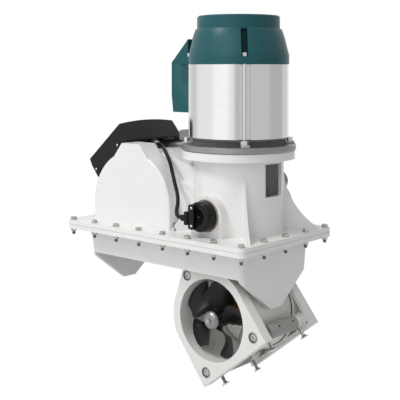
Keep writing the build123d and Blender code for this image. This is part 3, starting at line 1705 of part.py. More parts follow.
with BuildPart() as swing_drive_case:
    case_depth = case_rear - boss_face
    extrude(case_face(case_rear, 0), amount=case_depth)
    extrude(
        case_face(case_rear, drive_case_wall),
        amount=case_depth - drive_case_wall,
        mode=Mode.SUBTRACT,
    )
    extrude(
        ring(athwart(case_rear, swing_axis_x, swing_axis_z), pin_radius + 1),
        amount=case_depth,
        mode=Mode.SUBTRACT,
    )
    extrude(
        ring(athwart(case_rear, swing_axis_x, drive_z), drive_shaft_radius + running),
        amount=case_depth,
        mode=Mode.SUBTRACT,
    )
swing_drive_case.part.label = "swing_drive_case"
export_step(swing_drive_case.part, "parts/swing_drive_case.step")

with BuildPart() as swing_drive_cover:
    extrude(case_face(cover_rear, 0), amount=drive_case_wall)
    extrude(
        ring(athwart(cover_rear, swing_axis_x, drive_z), drive_shaft_radius + running),
        amount=drive_case_wall,
        mode=Mode.SUBTRACT,
    )
swing_drive_cover.part.label = "swing_drive_cover"
export_step(swing_drive_cover.part, "parts/swing_drive_cover.step")

swing_motor_radius = 24.0
swing_motor_length = 24.0
motor_rear = cover_rear + swing_motor_length
socket_rear = pinion_shaft_rear + clear
with BuildPart() as swing_motor:
    extrude(
        ring(athwart(motor_rear, swing_axis_x, drive_z), swing_motor_radius),
        amount=swing_motor_length,
    )
    extrude(
        ring(athwart(socket_rear, swing_axis_x, drive_z), drive_shaft_radius + running),
        amount=socket_rear - cover_rear,
        mode=Mode.SUBTRACT,
    )
swing_motor.part.label = "swing_motor"
export_step(swing_motor.part, "parts/swing_motor.step")
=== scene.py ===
"""Retractable bow thruster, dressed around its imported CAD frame.

X runs fore and aft, Y across the boat, Z up. Sizes are in millimetres and are turned
to metres where a mesh or a node takes them.
"""

import json
import logging
from dataclasses import dataclass
from enum import Enum
from math import atan2, cos, pi, radians, sin, sqrt
from typing import Optional, Sequence

import bmesh
import bpy
from mathutils import Matrix, Vector

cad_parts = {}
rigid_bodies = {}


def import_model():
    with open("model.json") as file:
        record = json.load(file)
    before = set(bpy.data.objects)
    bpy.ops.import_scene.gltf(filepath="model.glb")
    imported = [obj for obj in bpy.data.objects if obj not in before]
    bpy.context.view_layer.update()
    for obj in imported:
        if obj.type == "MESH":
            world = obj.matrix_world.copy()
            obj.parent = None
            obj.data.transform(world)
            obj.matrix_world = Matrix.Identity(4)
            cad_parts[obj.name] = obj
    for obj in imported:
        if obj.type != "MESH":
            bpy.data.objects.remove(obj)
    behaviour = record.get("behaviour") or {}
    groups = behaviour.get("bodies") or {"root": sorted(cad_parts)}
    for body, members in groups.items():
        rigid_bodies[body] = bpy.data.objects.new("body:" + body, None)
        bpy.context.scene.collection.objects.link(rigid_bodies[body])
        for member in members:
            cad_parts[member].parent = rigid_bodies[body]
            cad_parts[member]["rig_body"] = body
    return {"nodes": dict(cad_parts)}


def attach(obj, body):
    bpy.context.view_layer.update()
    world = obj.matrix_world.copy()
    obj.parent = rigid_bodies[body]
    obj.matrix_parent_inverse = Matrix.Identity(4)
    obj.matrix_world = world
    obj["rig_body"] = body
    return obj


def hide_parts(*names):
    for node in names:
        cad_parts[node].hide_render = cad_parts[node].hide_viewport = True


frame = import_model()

LOG = logging.getLogger("bow_thruster")
MM = 0.001
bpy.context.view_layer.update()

MOTOR_X = 132.0
SWING_Z = 68.0
TUNNEL_Z = -170.0
TILT = 38.2
DECK = 21.0
WHITE = (1.0, 1.0, 1.0, 1.0)

Flat = tuple[float, float]
Point = tuple[float, float, float]
BMesh = bmesh.types.BMesh

# Root, run and length of the gland that the sensor's cable leaves the control box by
GLAND_ROOT: Point = (-150.0, -5.0, 214.0)
GLAND_RUN: Point = (1.0, -0.35, -0.12)
GLAND_REACH = 44.0


def linear(hex_colour: str) -> tuple[float, float, float, float]:
    """Turn an sRGB hex colour to linear values.

    Args:
        hex_colour: Colour such as "#A0B1C2".

    Returns:
        Linear red, green and blue, and an alpha of one.
    """
    parts = [int(hex_colour[i:i + 2], 16) / 255 for i in (1, 3, 5)]
    made = [p / 12.92 if p <= 0.04045 else ((p + 0.055) / 1.055) ** 2.4 for p in parts]
    return (made[0], made[1], made[2], 1.0)


def add_node(
    tree: bpy.types.NodeTree, kind: str, inputs: Optional[dict] = None, **settings: object
) -> bpy.types.Node:
    """Add one node with its settings, values and links.

    Args:
        tree: Node tree that takes the node.
        kind: Blender's name for the node's type, without its leading ShaderNode.
        inputs: Input names or numbers, each with a value or a socket to link.
        **settings: Attributes of the node itself.

    Returns:
        The new node.
    """
    node = tree.nodes.new(f"ShaderNode{kind}")
    for name, value in settings.items():
        setattr(node, name, value)
    for name, value in (inputs or {}).items():
        if isinstance(value, bpy.types.NodeSocket):
            tree.links.new(value, node.inputs[name])
        else:
            node.inputs[name].default_value = value
    return node


def blank_material(name: str) -> bpy.types.Material:
    """Make a material with an empty node tree.

    Args:
        name: Name of the material.

    Returns:
        The material.
    """
    made = bpy.data.materials.new(name)
    made.use_nodes = True
    made.node_tree.nodes.clear()
    return made


def placed(name: str, data: bpy.types.ID) -> bpy.types.Object:
    """Link a new object into the scene.

    Args:
        name: Name of the object.
        data: Its mesh, curve, lamp or camera.

    Returns:
        The object.
    """
    made = bpy.data.objects.new(name, data)
    bpy.context.scene.collection.objects.link(made)
    return made


def as_mesh(shape: BMesh, name: str) -> bpy.types.Mesh:
    """Turn a bmesh into a mesh and free it.

    Args:
        shape: The bmesh.
        name: Name of the mesh.

    Returns:
        The mesh.
    """
    mesh = bpy.data.meshes.new(name)
    shape.to_mesh(mesh)
    shape.free()
    return mesh


def take_in(shape: BMesh, part: BMesh) -> None:
    """Add one bmesh to another and free it.

    Args:
        shape: Mesh that takes it.
        part: Mesh to add.
    """
    mesh = as_mesh(part, "part")
    shape.from_mesh(mesh)
    bpy.data.meshes.remove(mesh)


def box(shape: BMesh, size: Point, place: Matrix) -> list[bmesh.types.BMVert]:
    """Add a box round the middle of a place and return its vertices."""
    sized = place @ Matrix.Diagonal((*size, 1.0))
    return bmesh.ops.create_cube(shape, size=1.0, matrix=sized)["verts"]


def verts_of(items: Sequence[bmesh.types.BMElemSeq]) -> list[bmesh.types.BMVert]:
    """Return the vertices in what a bmesh operator gave back."""
    return [item for item in items if isinstance(item, bmesh.types.BMVert)]


def ease(
    shape: BMesh, edges: Sequence[bmesh.types.BMEdge], width: float, segments: int
) -> None:
    """Round or chamfer some edges of a bmesh to a width in millimetres."""
    bmesh.ops.bevel(
        shape, geom=edges, offset=width, segments=segments, profile=0.5, affect="EDGES",
        material=-1,
    )


def as_shade_and_seam(verts: Sequence[bmesh.types.BMVert]) -> None:
    """Give the faces round some vertices the piece's second material, the darker teal of painted
    shade and seams.
    """
    for face in {f for v in verts for f in v.link_faces}:
        face.material_index = 1


class Grain(Enum):
    """Run of a surface's fine marks: how fast the pattern changes along X, Y and Z."""

    MOULDED = (1.0, 1.0, 1.0)
    TURNED_UPRIGHT = (0.02, 0.02, 1.0)
    TURNED_ATHWART = (0.02, 1.0, 0.02)
    GROUND = (0.2, 1.0, 0.2)


@dataclass(frozen=True)
class Finish:
    """One surface finish, from what the real one is made of and how it was made; an edge colour
    paints highlights along its corners.
    """

    name: str
    slot: str
    colour: str
    shade: str
    grain_mm: float
    relief_mm: float
    roughness: float
    spread: float = 0.04
    grain: Grain = Grain.MOULDED
    metallic: float = 0.0
    ior: float = 1.5
    coat: float = 0.0
    specular: float = 0.5
    drift: float = 0.3
    drift_mm: float = 70.0
    # Colour of a painted highlight along the corners; empty for none
    edge: str = ""
    edge_mm: float = 1.6

    def material(self) -> bpy.types.Material:
        """Return this finish's material, made once with its mottle and relief.

        Returns:
            The material.
        """
        known = bpy.data.materials.get(self.name)
        if known is not None:
            return known
        made = blank_material(self.name)
        tree = made.node_tree
        place = add_node(tree, "TexCoord").outputs["Object"]
        run = add_node(tree, "Mapping", {"Vector": place, "Scale": self.grain.value})
        fine = add_node(
            tree, "TexNoise",
            {"Vector": run.outputs[0], "Scale": 1 / (self.grain_mm * MM), "Detail": 4.0},
        )
        broad = add_node(
            tree, "TexNoise", {"Vector": place, "Scale": 1 / (self.drift_mm * MM), "Detail": 3.0}
        )
        both = add_node(
            tree, "Mix", {0: self.drift, 2: fine.outputs["Fac"], 3: broad.outputs["Fac"]}
        )
        share = add_node(
            tree, "MapRange", {"Value": both.outputs[0], "From Min": 0.35, "From Max": 0.65}
        )
        colour = add_node(tree, "ValToRGB", {"Fac": share.outputs[0]})
        colour.color_ramp.elements[0].color = linear(self.colour)
        colour.color_ramp.elements[1].color = linear(self.shade)
        paint = colour.outputs["Color"]
        # Lighter corners are painted edge highlights
        if self.edge:
            paint = self.painted_edge_highlight(tree, paint)
        rough = add_node(tree, "MapRange", {
            "Value": share.outputs[0],
            "To Min": self.roughness - self.spread, "To Max": self.roughness + self.spread,
        })
        relief = add_node(
            tree, "Bump", {"Height": fine.outputs["Fac"], "Distance": self.relief_mm * MM}
        )
        shader = add_node(tree, "BsdfPrincipled", {
            "Base Color": paint, "Roughness": rough.outputs[0], "Normal": relief.outputs[0],
            "Metallic": self.metallic, "IOR": self.ior, "Specular IOR Level": self.specular,
            "Coat Weight": self.coat, "Coat Roughness": 0.15,
        })
        add_node(tree, "OutputMaterial", {"Surface": shader.outputs[0]})
        return made

    def painted_edge_highlight(
        self, tree: bpy.types.NodeTree, paint: bpy.types.NodeSocket
    ) -> bpy.types.NodeSocket:
        """Lighten the corners: a painted highlight where an edge catches the light.

        Args:
            tree: Node tree of the material.
            paint: Colour of the skin.

        Returns:
            The colour with its painted edge highlights.
        """
        eased = add_node(tree, "Bevel", {"Radius": self.edge_mm * MM}, samples=4)
        flat = add_node(tree, "NewGeometry").outputs["Normal"]
        turn = add_node(tree, "VectorMath", {0: eased.outputs[0], 1: flat}, operation="DOT_PRODUCT")
        edge_lit = add_node(
            tree, "MapRange",
            {"Value": turn.outputs["Value"], "From Min": 0.985, "From Max": 0.86, "To Max": 0.8},
        )
        skin = add_node(
            tree, "Mix", {0: edge_lit.outputs[0], 6: paint, 7: linear(self.edge)}, data_type="RGBA"
        )
        return skin.outputs[2]


# White polyester gelcoat over glass fibre: smooth, a faint orange peel, soft gloss
GELCOAT = Finish(
    "white_gelcoat", "gelcoat", "#EFEFEE", "#ECECEB", 9.0, 0.012, 0.36, 0.02, coat=0.12, drift=0.5
)
# Moulded glass-filled plastic plates: duller than gelcoat, with a fine moulded grain
PLATE_GRP = Finish("moulded_white_plate", "plate_grp", "#EAEAE8", "#E4E4E1", 1.6, 0.02, 0.5)
# Grey glass-filled nylon sleeves: mid grey, dull, faintly speckled by the fibres
SLEEVE_NYLON = Finish(
    "grey_nylon_sleeve", "plate_grp", "#A5A5A3", "#999996", 1.5, 0.03, 0.5, specular=0.3
)
# Cork and rubber sheet: tan, dull and granular
GASKET = Finish("cork_rubber_gasket", "gasket", "#A8968A", "#8F8177", 1.2, 0.08, 0.85, specular=0.2)
# Turned stainless steel: bright, with fine tool marks
STAINLESS = Finish(
    "turned_stainless_steel", "stainless", "#BDBBB8", "#A9A7A4", 1.5, 0.008, 0.24, metallic=1.0
)
# Bright zinc plate of the motor's rods and small screws
BRIGHT_ZINC = Finish(
    "bright_zinc_plate", "stainless", "#E6E5E3", "#D6D5D3", 1.5, 0.005, 0.22, metallic=0.9
)
# Ground carbon steel: greyer than stainless
STEEL = Finish(
    "ground_steel", "steel", "#8F8F90", "#77787A", 1.2, 0.01, 0.38, metallic=1.0,
    grain=Grain.GROUND,
)
# Weathered steel of the studs under the flange
DARK_STUD = Finish(
    "weathered_steel_stud", "steel", "#6B6967", "#565452", 1.2, 0.02, 0.4, metallic=0.8
)
# Rubbery joint between the two flanges: off-white sealant, dull
JOINT = Finish("flange_sealant", "gelcoat", "#B9B9B5", "#ACACA8", 2.0, 0.03, 0.7, specular=0.2)
# Machined grey iron ring: concentric tool marks, a dull metallic grey
IRON_RING = Finish(
    "machined_iron", "dark_ring", "#9E9E9D", "#8C8C8B", 0.9, 0.01, 0.38, metallic=0.9,
    grain=Grain.TURNED_UPRIGHT,
)
# Drawn aluminium tube, brushed round its girth, so highlights stretch upright
BRUSHED_CAN = Finish(
    "brushed_aluminium", "motor_can", "#E4E4E3", "#DEDEDD", 0.6, 0.0012, 0.2, 0.01, metallic=1.0,
    drift=0.05, grain=Grain.TURNED_UPRIGHT,
)
# Die-cast aluminium: sandy and grey
DIE_CAST = Finish(
    "die_cast_aluminium", "shield", "#B4B5B5", "#A0A1A1", 1.4, 0.03, 0.42, metallic=0.85
)
# Air grille in dark paint over the casting: dull, and darkened by the shade under the motor
GRILLE_PAINT = Finish(
    "black_painted_grille", "shield", "#7E7E7D", "#6A6A69", 1.2, 0.03, 0.5, specular=0.3
)
# Teal moulded plastic with a fine spark-eroded texture and a satin gloss, and a painted highlight
# on its edges
TEAL = Finish(
    "teal_moulded_cap", "teal", "#1B585E", "#195157", 0.9, 0.02, 0.36, specular=0.24,
    edge="#3C7277",
)
# Darker teal of the same moulding: painted shade on the floors of the cap's slots, and the dark
# seam round the controller box
TEAL_SHADE_AND_SEAM = Finish(
    "teal_painted_shade_and_seam", "teal", "#163D43", "#13373C", 0.9, 0.02, 0.6, specular=0.1
)
# Grey moulded plastic of the terminal block, with a painted highlight on its edges
GREY_ABS = Finish(
    "grey_moulded_block", "black_plastic", "#8A8A88", "#7E7E7C", 1.0, 0.03, 0.5, specular=0.3,
    edge="#9D9D9B",
)
# Black moulded plastic, a fine matt texture that scatters a grey sheen, and a painted highlight on
# its edges
BLACK_ABS = Finish(
    "black_moulded_box", "black_plastic", "#20201E", "#1A1A19", 1.0, 0.03, 0.42, specular=0.16,
    edge="#4C4C49",
)
# Black glass-filled nylon of blades and connectors
BLACK_NYLON = Finish(
    "black_nylon", "black_plastic", "#1B1B1B", "#151515", 1.4, 0.02, 0.36, specular=0.22
)
# Glossy black moulding of the angle sensor and its plug, with a painted highlight on its edges
BLACK_GLOSS = Finish(
    "black_glossy_sensor", "black_plastic", "#0F0F0F", "#0A0A0A", 1.4, 0.01, 0.24, specular=0.2,
    edge="#2A2A2A",
)
# Cable sheath: smooth black rubber with a dull gloss
SHEATH = Finish(
    "black_cable_sheath", "black_rubber", "#131313", "#0D0D0D", 2.0, 0.02, 0.34, specular=0.18
)
# The same sheath in red rubber, a little duller
RED_SHEATH = Finish(
    "red_cable_sheath", "red_rubber", "#54161C", "#431015", 2.0, 0.02, 0.42, specular=0.35
)
# Cast bronze: warm and slightly sandy
BRONZE = Finish("cast_bronze", "bronze", "#8F6A33", "#725125", 2.0, 0.05, 0.42, metallic=1.0)
# Nickel-plated brass: bright and a little warm
BRASS = Finish("nickel_plated_brass", "brass", "#BDB8AE", "#A8A297", 1.2, 0.01, 0.26, metallic=1.0)
# Turned copper bars of the commutator
COPPER = Finish(
    "turned_copper", "copper", "#B87348", "#9E603A", 1.0, 0.02, 0.35, metallic=1.0,
    grain=Grain.TURNED_UPRIGHT,
)
# Cast zinc: soft grey with a satin skin
ZINC = Finish(
    "cast_zinc", "zinc", "#8E8E8D", "#7F7F7E", 2.0, 0.015, 0.34, metallic=0.95,
    grain=Grain.TURNED_ATHWART,
)
# Dark plastic of bushes and brush holders
BUSH = Finish("dark_bush_plastic", "bush_plastic", "#363637", "#2B2B2C", 1.5, 0.02, 0.5)
# Near-black and dull: painted shade for the tube's gap lines and the sleeves' holes
PAINTED_SHADE_BLACK = Finish("painted_shade_black", "black_rubber", "#1C1C1C", "#141414", 1.5, 0.03, 0.6, specular=0.3)


def finished(
    name: str, shape: BMesh, finish: Finish, replaces: Sequence[str] = (),
    sharp: float = 35.0, bevel: float = 0.0, segments: int = 2, body: str = "housing",
) -> bpy.types.Object:
    """Turn a bmesh in millimetres into a dressed piece that rides on a body.

    Args:
        name: Name of the piece.
        shape: Its mesh, in millimetres and in place; it is freed.
        finish: Finish of the piece.
        replaces: CAD nodes that it stands for.
        sharp: Angle in degrees over which an edge stays sharp.
        bevel: Width in millimetres of a bevel modifier, or zero for none.
        segments: Segments of that bevel.
        body: CAD body that it rides on.

    Returns:
        The new object.
    """
    bmesh.ops.transform(shape, matrix=Matrix.Scale(MM, 4), verts=shape.verts)
    mesh = as_mesh(shape, name)
    for face in mesh.polygons:
        face.use_smooth = True
    if "custom_normal" in mesh.attributes:
        mesh.attributes.remove(mesh.attributes["custom_normal"])
    mesh.set_sharp_from_angle(angle=radians(sharp))
    piece = placed(name, mesh)
    mesh.materials.append(finish.material())
    if bevel > 0:
        edge = piece.modifiers.new("moulded_edges", "BEVEL")
        edge.width = bevel * MM
        edge.segments = segments
        edge.limit_method = "ANGLE"
        edge.angle_limit = radians(sharp)
        edge.harden_normals = True
        edge.use_clamp_overlap = True
    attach(piece, body)
    if replaces:
        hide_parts(*replaces)
    LOG.info("%s on %s, %d faces", name, body, len(mesh.polygons))
    return piece


def merged(node: str) -> BMesh:
    """Return a CAD node's mesh in millimetres, with its triangles joined to whole faces.

    Args:
        node: The CAD node.

    Returns:
        The mesh.
    """
    shape = bmesh.new()
    shape.from_mesh(frame["nodes"][node].data)
    bmesh.ops.transform(shape, matrix=Matrix.Scale(1 / MM, 4), verts=shape.verts)
    bmesh.ops.remove_doubles(shape, verts=shape.verts, dist=0.01)
    bmesh.ops.dissolve_limit(shape, angle_limit=radians(1.0), verts=shape.verts, edges=shape.edges)
    return shape


def refined(node: str, finish: Finish, bevel: float, segments: int = 2) -> None:
    """Stand a merged copy, its edges rounded by so many millimetres, in for a CAD node."""
    body = frame["nodes"][node]["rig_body"]
    finished(
        f"{node}_dressed", merged(node), finish, (node,), sharp=30.0, bevel=bevel,
        segments=segments, body=body,
    )


def dressed(finish: Finish, *nodes: str) -> None:
    """Give CAD nodes a finish and leave their shape alone.

    Args:
        finish: The finish.
        *nodes: Names of the CAD nodes.
    """
    for node in nodes:
        mesh = frame["nodes"][node].data
        mesh.materials.clear()
        mesh.materials.append(finish.material())


def turned(profile: Sequence[Flat], place: Matrix, steps: int) -> BMesh:
    """Spin a profile of radius and height full round.

    Args:
        profile: Points as radius and height, from one end of the axis to the other.
        place: Matrix that puts the turned axis, local Z, where it belongs.
        steps: Steps round the turn.

    Returns:
        The turned mesh.
    """
    shape = bmesh.new()
    line = [shape.verts.new((r, 0.0, z)) for r, z in profile]
    edges = [shape.edges.new(pair) for pair in zip(line, line[1:])]
    bmesh.ops.spin(
        shape, geom=line + edges, cent=(0, 0, 0), axis=(0, 0, 1), angle=2 * pi,
        steps=steps, use_merge=True,
    )
    bmesh.ops.remove_doubles(shape, verts=shape.verts, dist=0.005)
    bmesh.ops.recalc_face_normals(shape, faces=shape.faces)
    bmesh.ops.transform(shape, matrix=place, verts=shape.verts)
    return shape


def hexagon_head(shape: BMesh, across: float, height: float, place: Matrix) -> None:
    """Add a hexagon with the turned chamfer of a bolt head or nut.

    Args:
        shape: Mesh that takes it.
        across: Width across flats.
        height: Height of the head along local Z.
        place: Matrix from the head's seat to its place.
    """
    round_share, drop_share = 0.96, 0.55
    round_radius = across / 2 * round_share
    corner = across / sqrt(3)
    drop = (corner - round_radius) * drop_share
    made = bmesh.ops.create_circle(shape, cap_ends=True, segments=24, radius=corner)["verts"]
    for vert in made:
        angle = atan2(vert.co.y, vert.co.x) % radians(60) - radians(30)
        vert.co *= across / 2 / cos(angle) / corner
    floor = made[0].link_faces[0]
    top = bmesh.ops.extrude_face_region(shape, geom=[floor])["geom"]
    rim = verts_of(top)
    for vert in rim:
        share = (vert.co.length - round_radius) / (corner - round_radius)
        vert.co.z = height - drop * share
    crown = [f for f in top if isinstance(f, bmesh.types.BMFace)]
    cap = bmesh.ops.extrude_face_region(shape, geom=crown)["geom"]
    crown_verts = verts_of(cap)
    for vert in crown_verts:
        flat = Vector((vert.co.x, vert.co.y, 0)).normalized() * round_radius
        vert.co = Vector((flat.x, flat.y, height))
    bmesh.ops.delete(shape, geom=crown, context="FACES_ONLY")
    every = list({*made, *rim, *crown_verts})
    bmesh.ops.recalc_face_normals(shape, faces=list({f for v in every for f in v.link_faces}))
    bmesh.ops.transform(shape, matrix=place, verts=every)


def rod(shape: BMesh, radius: float, length: float, place: Matrix, point: float = 0.0) -> None:
    """Add a round rod along local Z, its far end chamfered.

    Args:
        shape: Mesh that takes it.
        radius: Radius of the rod.
        length: Length of the rod.
        place: Matrix from the rod's root to its place.
        point: Width of the end's chamfer.
    """
    made = bmesh.ops.create_cone(
        shape, cap_ends=True, segments=20, radius1=radius, radius2=radius, depth=length,
        matrix=place @ Matrix.Translation((0, 0, length / 2)),
    )["verts"]
    if point > 0:
        far = place @ Vector((0, 0, length))
        rim = [v for v in made if (v.co - far).length < radius * 1.01]
        edges = {e for v in rim for e in v.link_edges if all(end in rim for end in e.verts)}
        ease(shape, list(edges), point, 1)


def at(x: float, y: float, z: float) -> Matrix:
    """Return a matrix that moves to a point in millimetres."""
    return Matrix.Translation((x, y, z))


def facing(origin: Sequence[float], direction: Sequence[float]) -> Matrix:
    """Return a matrix that puts local Z along a direction from an origin."""
    turn = Vector(direction).to_track_quat("Z", "Y")
    return Matrix.Translation(origin) @ turn.to_matrix().to_4x4()


def in_tunnel(x: float, y: float, z: float) -> Vector:
    """Return the place of a point across, along and over the tunnel's tilted axis."""
    c, s = cos(radians(TILT)), sin(radians(TILT))
    return Vector((MOTOR_X + x * c - z * s, y, TUNNEL_Z + x * s + z * c))


@dataclass
class Studio:
    """Camera, lamps, floor and cards of the picture; all but the cards are in metres."""

    eye: Point = (1.409, -1.6125, 0.400)
    heading: Point = (-0.6547, 0.7559, 0.0)
    lens: float = 79.02
    drop: float = -0.33125
    floor_z: float = -0.46
    floor_half: float = 12.0
    lamp_aim: Point = (0.0, 0.0, 0.1)
    soft: float = 0.46
    card_radius: float = 2300.0
    card_foot: float = -300.0
    card_height: float = 1300.0
    white_share: float = 0.88

    def camera(self) -> None:
        """Place the camera where the photograph was taken from."""
        data = bpy.data.cameras.new("camera")
        data.lens = self.lens
        data.shift_y = self.drop
        data.sensor_width = 36.0
        data.clip_end = 50.0
        camera = placed("camera", data)
        camera.location = self.eye
        camera.rotation_mode = "QUATERNION"
        camera.rotation_quaternion = Vector(self.heading).to_track_quat("-Z", "Y")
        bpy.context.scene.camera = camera

    def lamp(self, name: str, place: Point, size: float, power: float) -> None:
        """Add a soft square lamp that faces the middle of the object.

        Args:
            name: Name of the lamp.
            place: Where it hangs, in metres.
            size: Length of its side in metres.
            power: Its power in watts.
        """
        data = bpy.data.lights.new(name, "AREA")
        data.shape = "SQUARE"
        data.size = size
        data.energy = power
        lamp = placed(name, data)
        lamp.location = place
        lamp.rotation_mode = "QUATERNION"
        lamp.rotation_quaternion = (Vector(self.lamp_aim) - Vector(place)).to_track_quat("-Z", "Y")

    def card(self, name: str, start: float, end: float, glow: float) -> None:
        """Stand a bent card that glossy rays see, and nothing else does.

        Args:
            name: Name of the card.
            start: Angle of its first edge round the motor, in degrees.
            end: Angle of its last edge.
            glow: How bright it is.
        """
        shape = bmesh.new()
        turn = Matrix.Rotation(radians(start), 4, "Z")
        first = at(MOTOR_X, 0, 0) @ turn @ Vector((self.card_radius, 0, self.card_foot))
        line = [shape.verts.new(first), shape.verts.new(first + Vector((0, 0, self.card_height)))]
        edge = shape.edges.new(line)
        bmesh.ops.spin(
            shape, geom=[*line, edge], cent=(MOTOR_X, 0, 0), axis=(0, 0, 1),
            angle=radians(end - start), steps=12,
        )
        bmesh.ops.transform(shape, matrix=Matrix.Scale(MM, 4), verts=shape.verts)
        mesh = as_mesh(shape, name)
        made = blank_material(f"{name}_paper")
        paper = add_node(made.node_tree, "Emission", {"Strength": glow})
        add_node(made.node_tree, "OutputMaterial", {"Surface": paper.outputs[0]})
        mesh.materials.append(made)
        card = placed(name, mesh)
        for ray in ("camera", "diffuse", "transmission", "shadow", "volume_scatter"):
            setattr(card, f"visible_{ray}", False)

    def seen_by(self, tree: bpy.types.NodeTree, *rays: str) -> bpy.types.NodeSocket:
        """Tell some kinds of ray from the rest.

        Args:
            tree: Node tree of a material or the world.
            *rays: Kinds of ray, as the Light Path node names them.

        Returns:
            A socket that is one where such a ray arrives.
        """
        path = add_node(tree, "LightPath")
        seen = path.outputs[f"Is {rays[0]} Ray"]
        for ray in rays[1:]:
            other = path.outputs[f"Is {ray} Ray"]
            seen = add_node(tree, "Math", {0: seen, 1: other}, operation="MAXIMUM").outputs[0]
        return seen

    def world(self) -> None:
        """Light everything softly, and show white where the eye sees past the object."""
        world = bpy.data.worlds.new("studio")
        bpy.context.scene.world = world
        world.use_nodes = True
        tree = world.node_tree
        tree.nodes.clear()
        seen = self.seen_by(tree, "Camera", "Transmission", "Glossy")
        soft = add_node(
            tree, "Background", {"Color": (1.0, 0.995, 0.985, 1.0), "Strength": self.soft}
        )
        white = add_node(tree, "Background", {"Color": WHITE, "Strength": 1.0})
        both = add_node(tree, "MixShader", {0: seen, 1: soft.outputs[0], 2: white.outputs[0]})
        add_node(tree, "OutputWorld", {"Surface": both.outputs[0]})

    def floor(self) -> None:
        """Lay the floor under the thruster: pale to the light, white to eye and mirror."""
        shape = bmesh.new()
        bmesh.ops.create_grid(shape, x_segments=1, y_segments=1, size=self.floor_half)
        bmesh.ops.transform(shape, matrix=at(0, 0, self.floor_z), verts=shape.verts)
        mesh = as_mesh(shape, "floor")
        floor = placed("floor", mesh)
        made = blank_material("floor_paint")
        tree = made.node_tree
        seen = self.seen_by(tree, "Camera", "Glossy")
        share = add_node(tree, "Math", {0: seen, 1: self.white_share}, operation="MULTIPLY")
        paint = add_node(
            tree, "BsdfPrincipled", {"Base Color": linear("#DADADA"), "Roughness": 0.9}
        )
        glow = add_node(tree, "Emission", {"Color": WHITE, "Strength": 1.1})
        both = add_node(
            tree, "MixShader", {0: share.outputs[0], 1: paint.outputs[0], 2: glow.outputs[0]}
        )
        add_node(tree, "OutputMaterial", {"Surface": both.outputs[0]})
        mesh.materials.append(made)

    def build(self) -> None:
        """Set up the whole studio; the cards give the bright motor its upright bands."""
        self.camera()
        self.lamp("key", (-0.8, -2.2, 2.8), 0.9, 54.0)
        self.lamp("fill", (0.9, -3.0, 2.0), 1.6, 18.0)
        self.lamp("low", (-0.4, -3.4, -0.1), 1.2, 9.0)
        self.card("white_card", -108.0, -74.0, 1.18)
        self.card("edge_card", -60.0, -49.0, 0.52)
        self.card("grey_card", -46.0, 22.0, 0.66)
        self.card("dark_card", 22.0, 64.0, 0.54)
        self.card("back_card", 64.0, 95.0, 0.75)
        self.card("left_card", 166.0, 200.0, 0.74)
        self.world()
        self.floor()


@dataclass
class Cables:
    """The three cables between the control box, the sensor and the motor."""

    sensor_radius: float = 4.5
    power_radius: float = 6.0
    power_spacing: float = 18.0
    sensor_length: float = 0.295
    power_length: float = 0.1135
    sensor_lead: float = 24.0
    sensor_route: tuple[Point, ...] = (
        (-50, -58, 199), (-14, -80, 178), (9, -96, 156), (28, -108, 132), (52, -124, 110),
        (66, -138, 92), (69, -147, 77), (76, -151.8, 64), (90, -151.8, 64),
    )
    power_route: tuple[Point, ...] = (
        (-152, 30, 216), (-124, 30, 213), (-98, 26, 214), (-74, 18, 220), (-56, 14, 226),
        (-42, 14, 226),
    )

    def cord(
        self, node: str, points: Sequence[Point], radius: float, length: float, finish: Finish
    ) -> None:
        """Make one cable as a smooth curve.

        Args:
            node: CAD node that it replaces.
            points: Control points of its route, in millimetres.
            radius: Its radius.
            length: Its real length in metres.
            finish: Its finish.
        """
        data = bpy.data.curves.new(f"{node}_sheath", "CURVE")
        data.dimensions = "3D"
        data.bevel_depth = radius * MM
        data.bevel_resolution = 5
        data.resolution_u = 16
        data.use_fill_caps = True
        spline = data.splines.new("NURBS")
        spline.points.add(len(points) - 1)
        for point, place in zip(spline.points, points):
            point.co = (*(v * MM for v in place), 1.0)
        spline.order_u = 3
        spline.use_endpoint_u = True
        cable = placed(f"{node}_sheath", data)
        data.materials.append(finish.material())
        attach(cable, "housing")
        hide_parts(node)
        LOG.info("%s on housing, %.1f mm long", cable.name, length / MM)

    def build(self) -> None:
        """Make the three cables."""
        run = Vector(GLAND_RUN).normalized()
        leave = Vector(GLAND_ROOT) + run * GLAND_REACH
        self.cord(
            "sensor_cable",
            [tuple(leave), tuple(leave + run * self.sensor_lead), *self.sensor_route],
            self.sensor_radius, self.sensor_length, SHEATH,
        )
        for hue, shift, finish in (("black", 0.0, SHEATH), ("red", self.power_spacing, RED_SHEATH)):
            self.cord(
                f"power_cable_{hue}", [(x, y + shift, z) for x, y, z in self.power_route],
                self.power_radius, self.power_length, finish,
            )


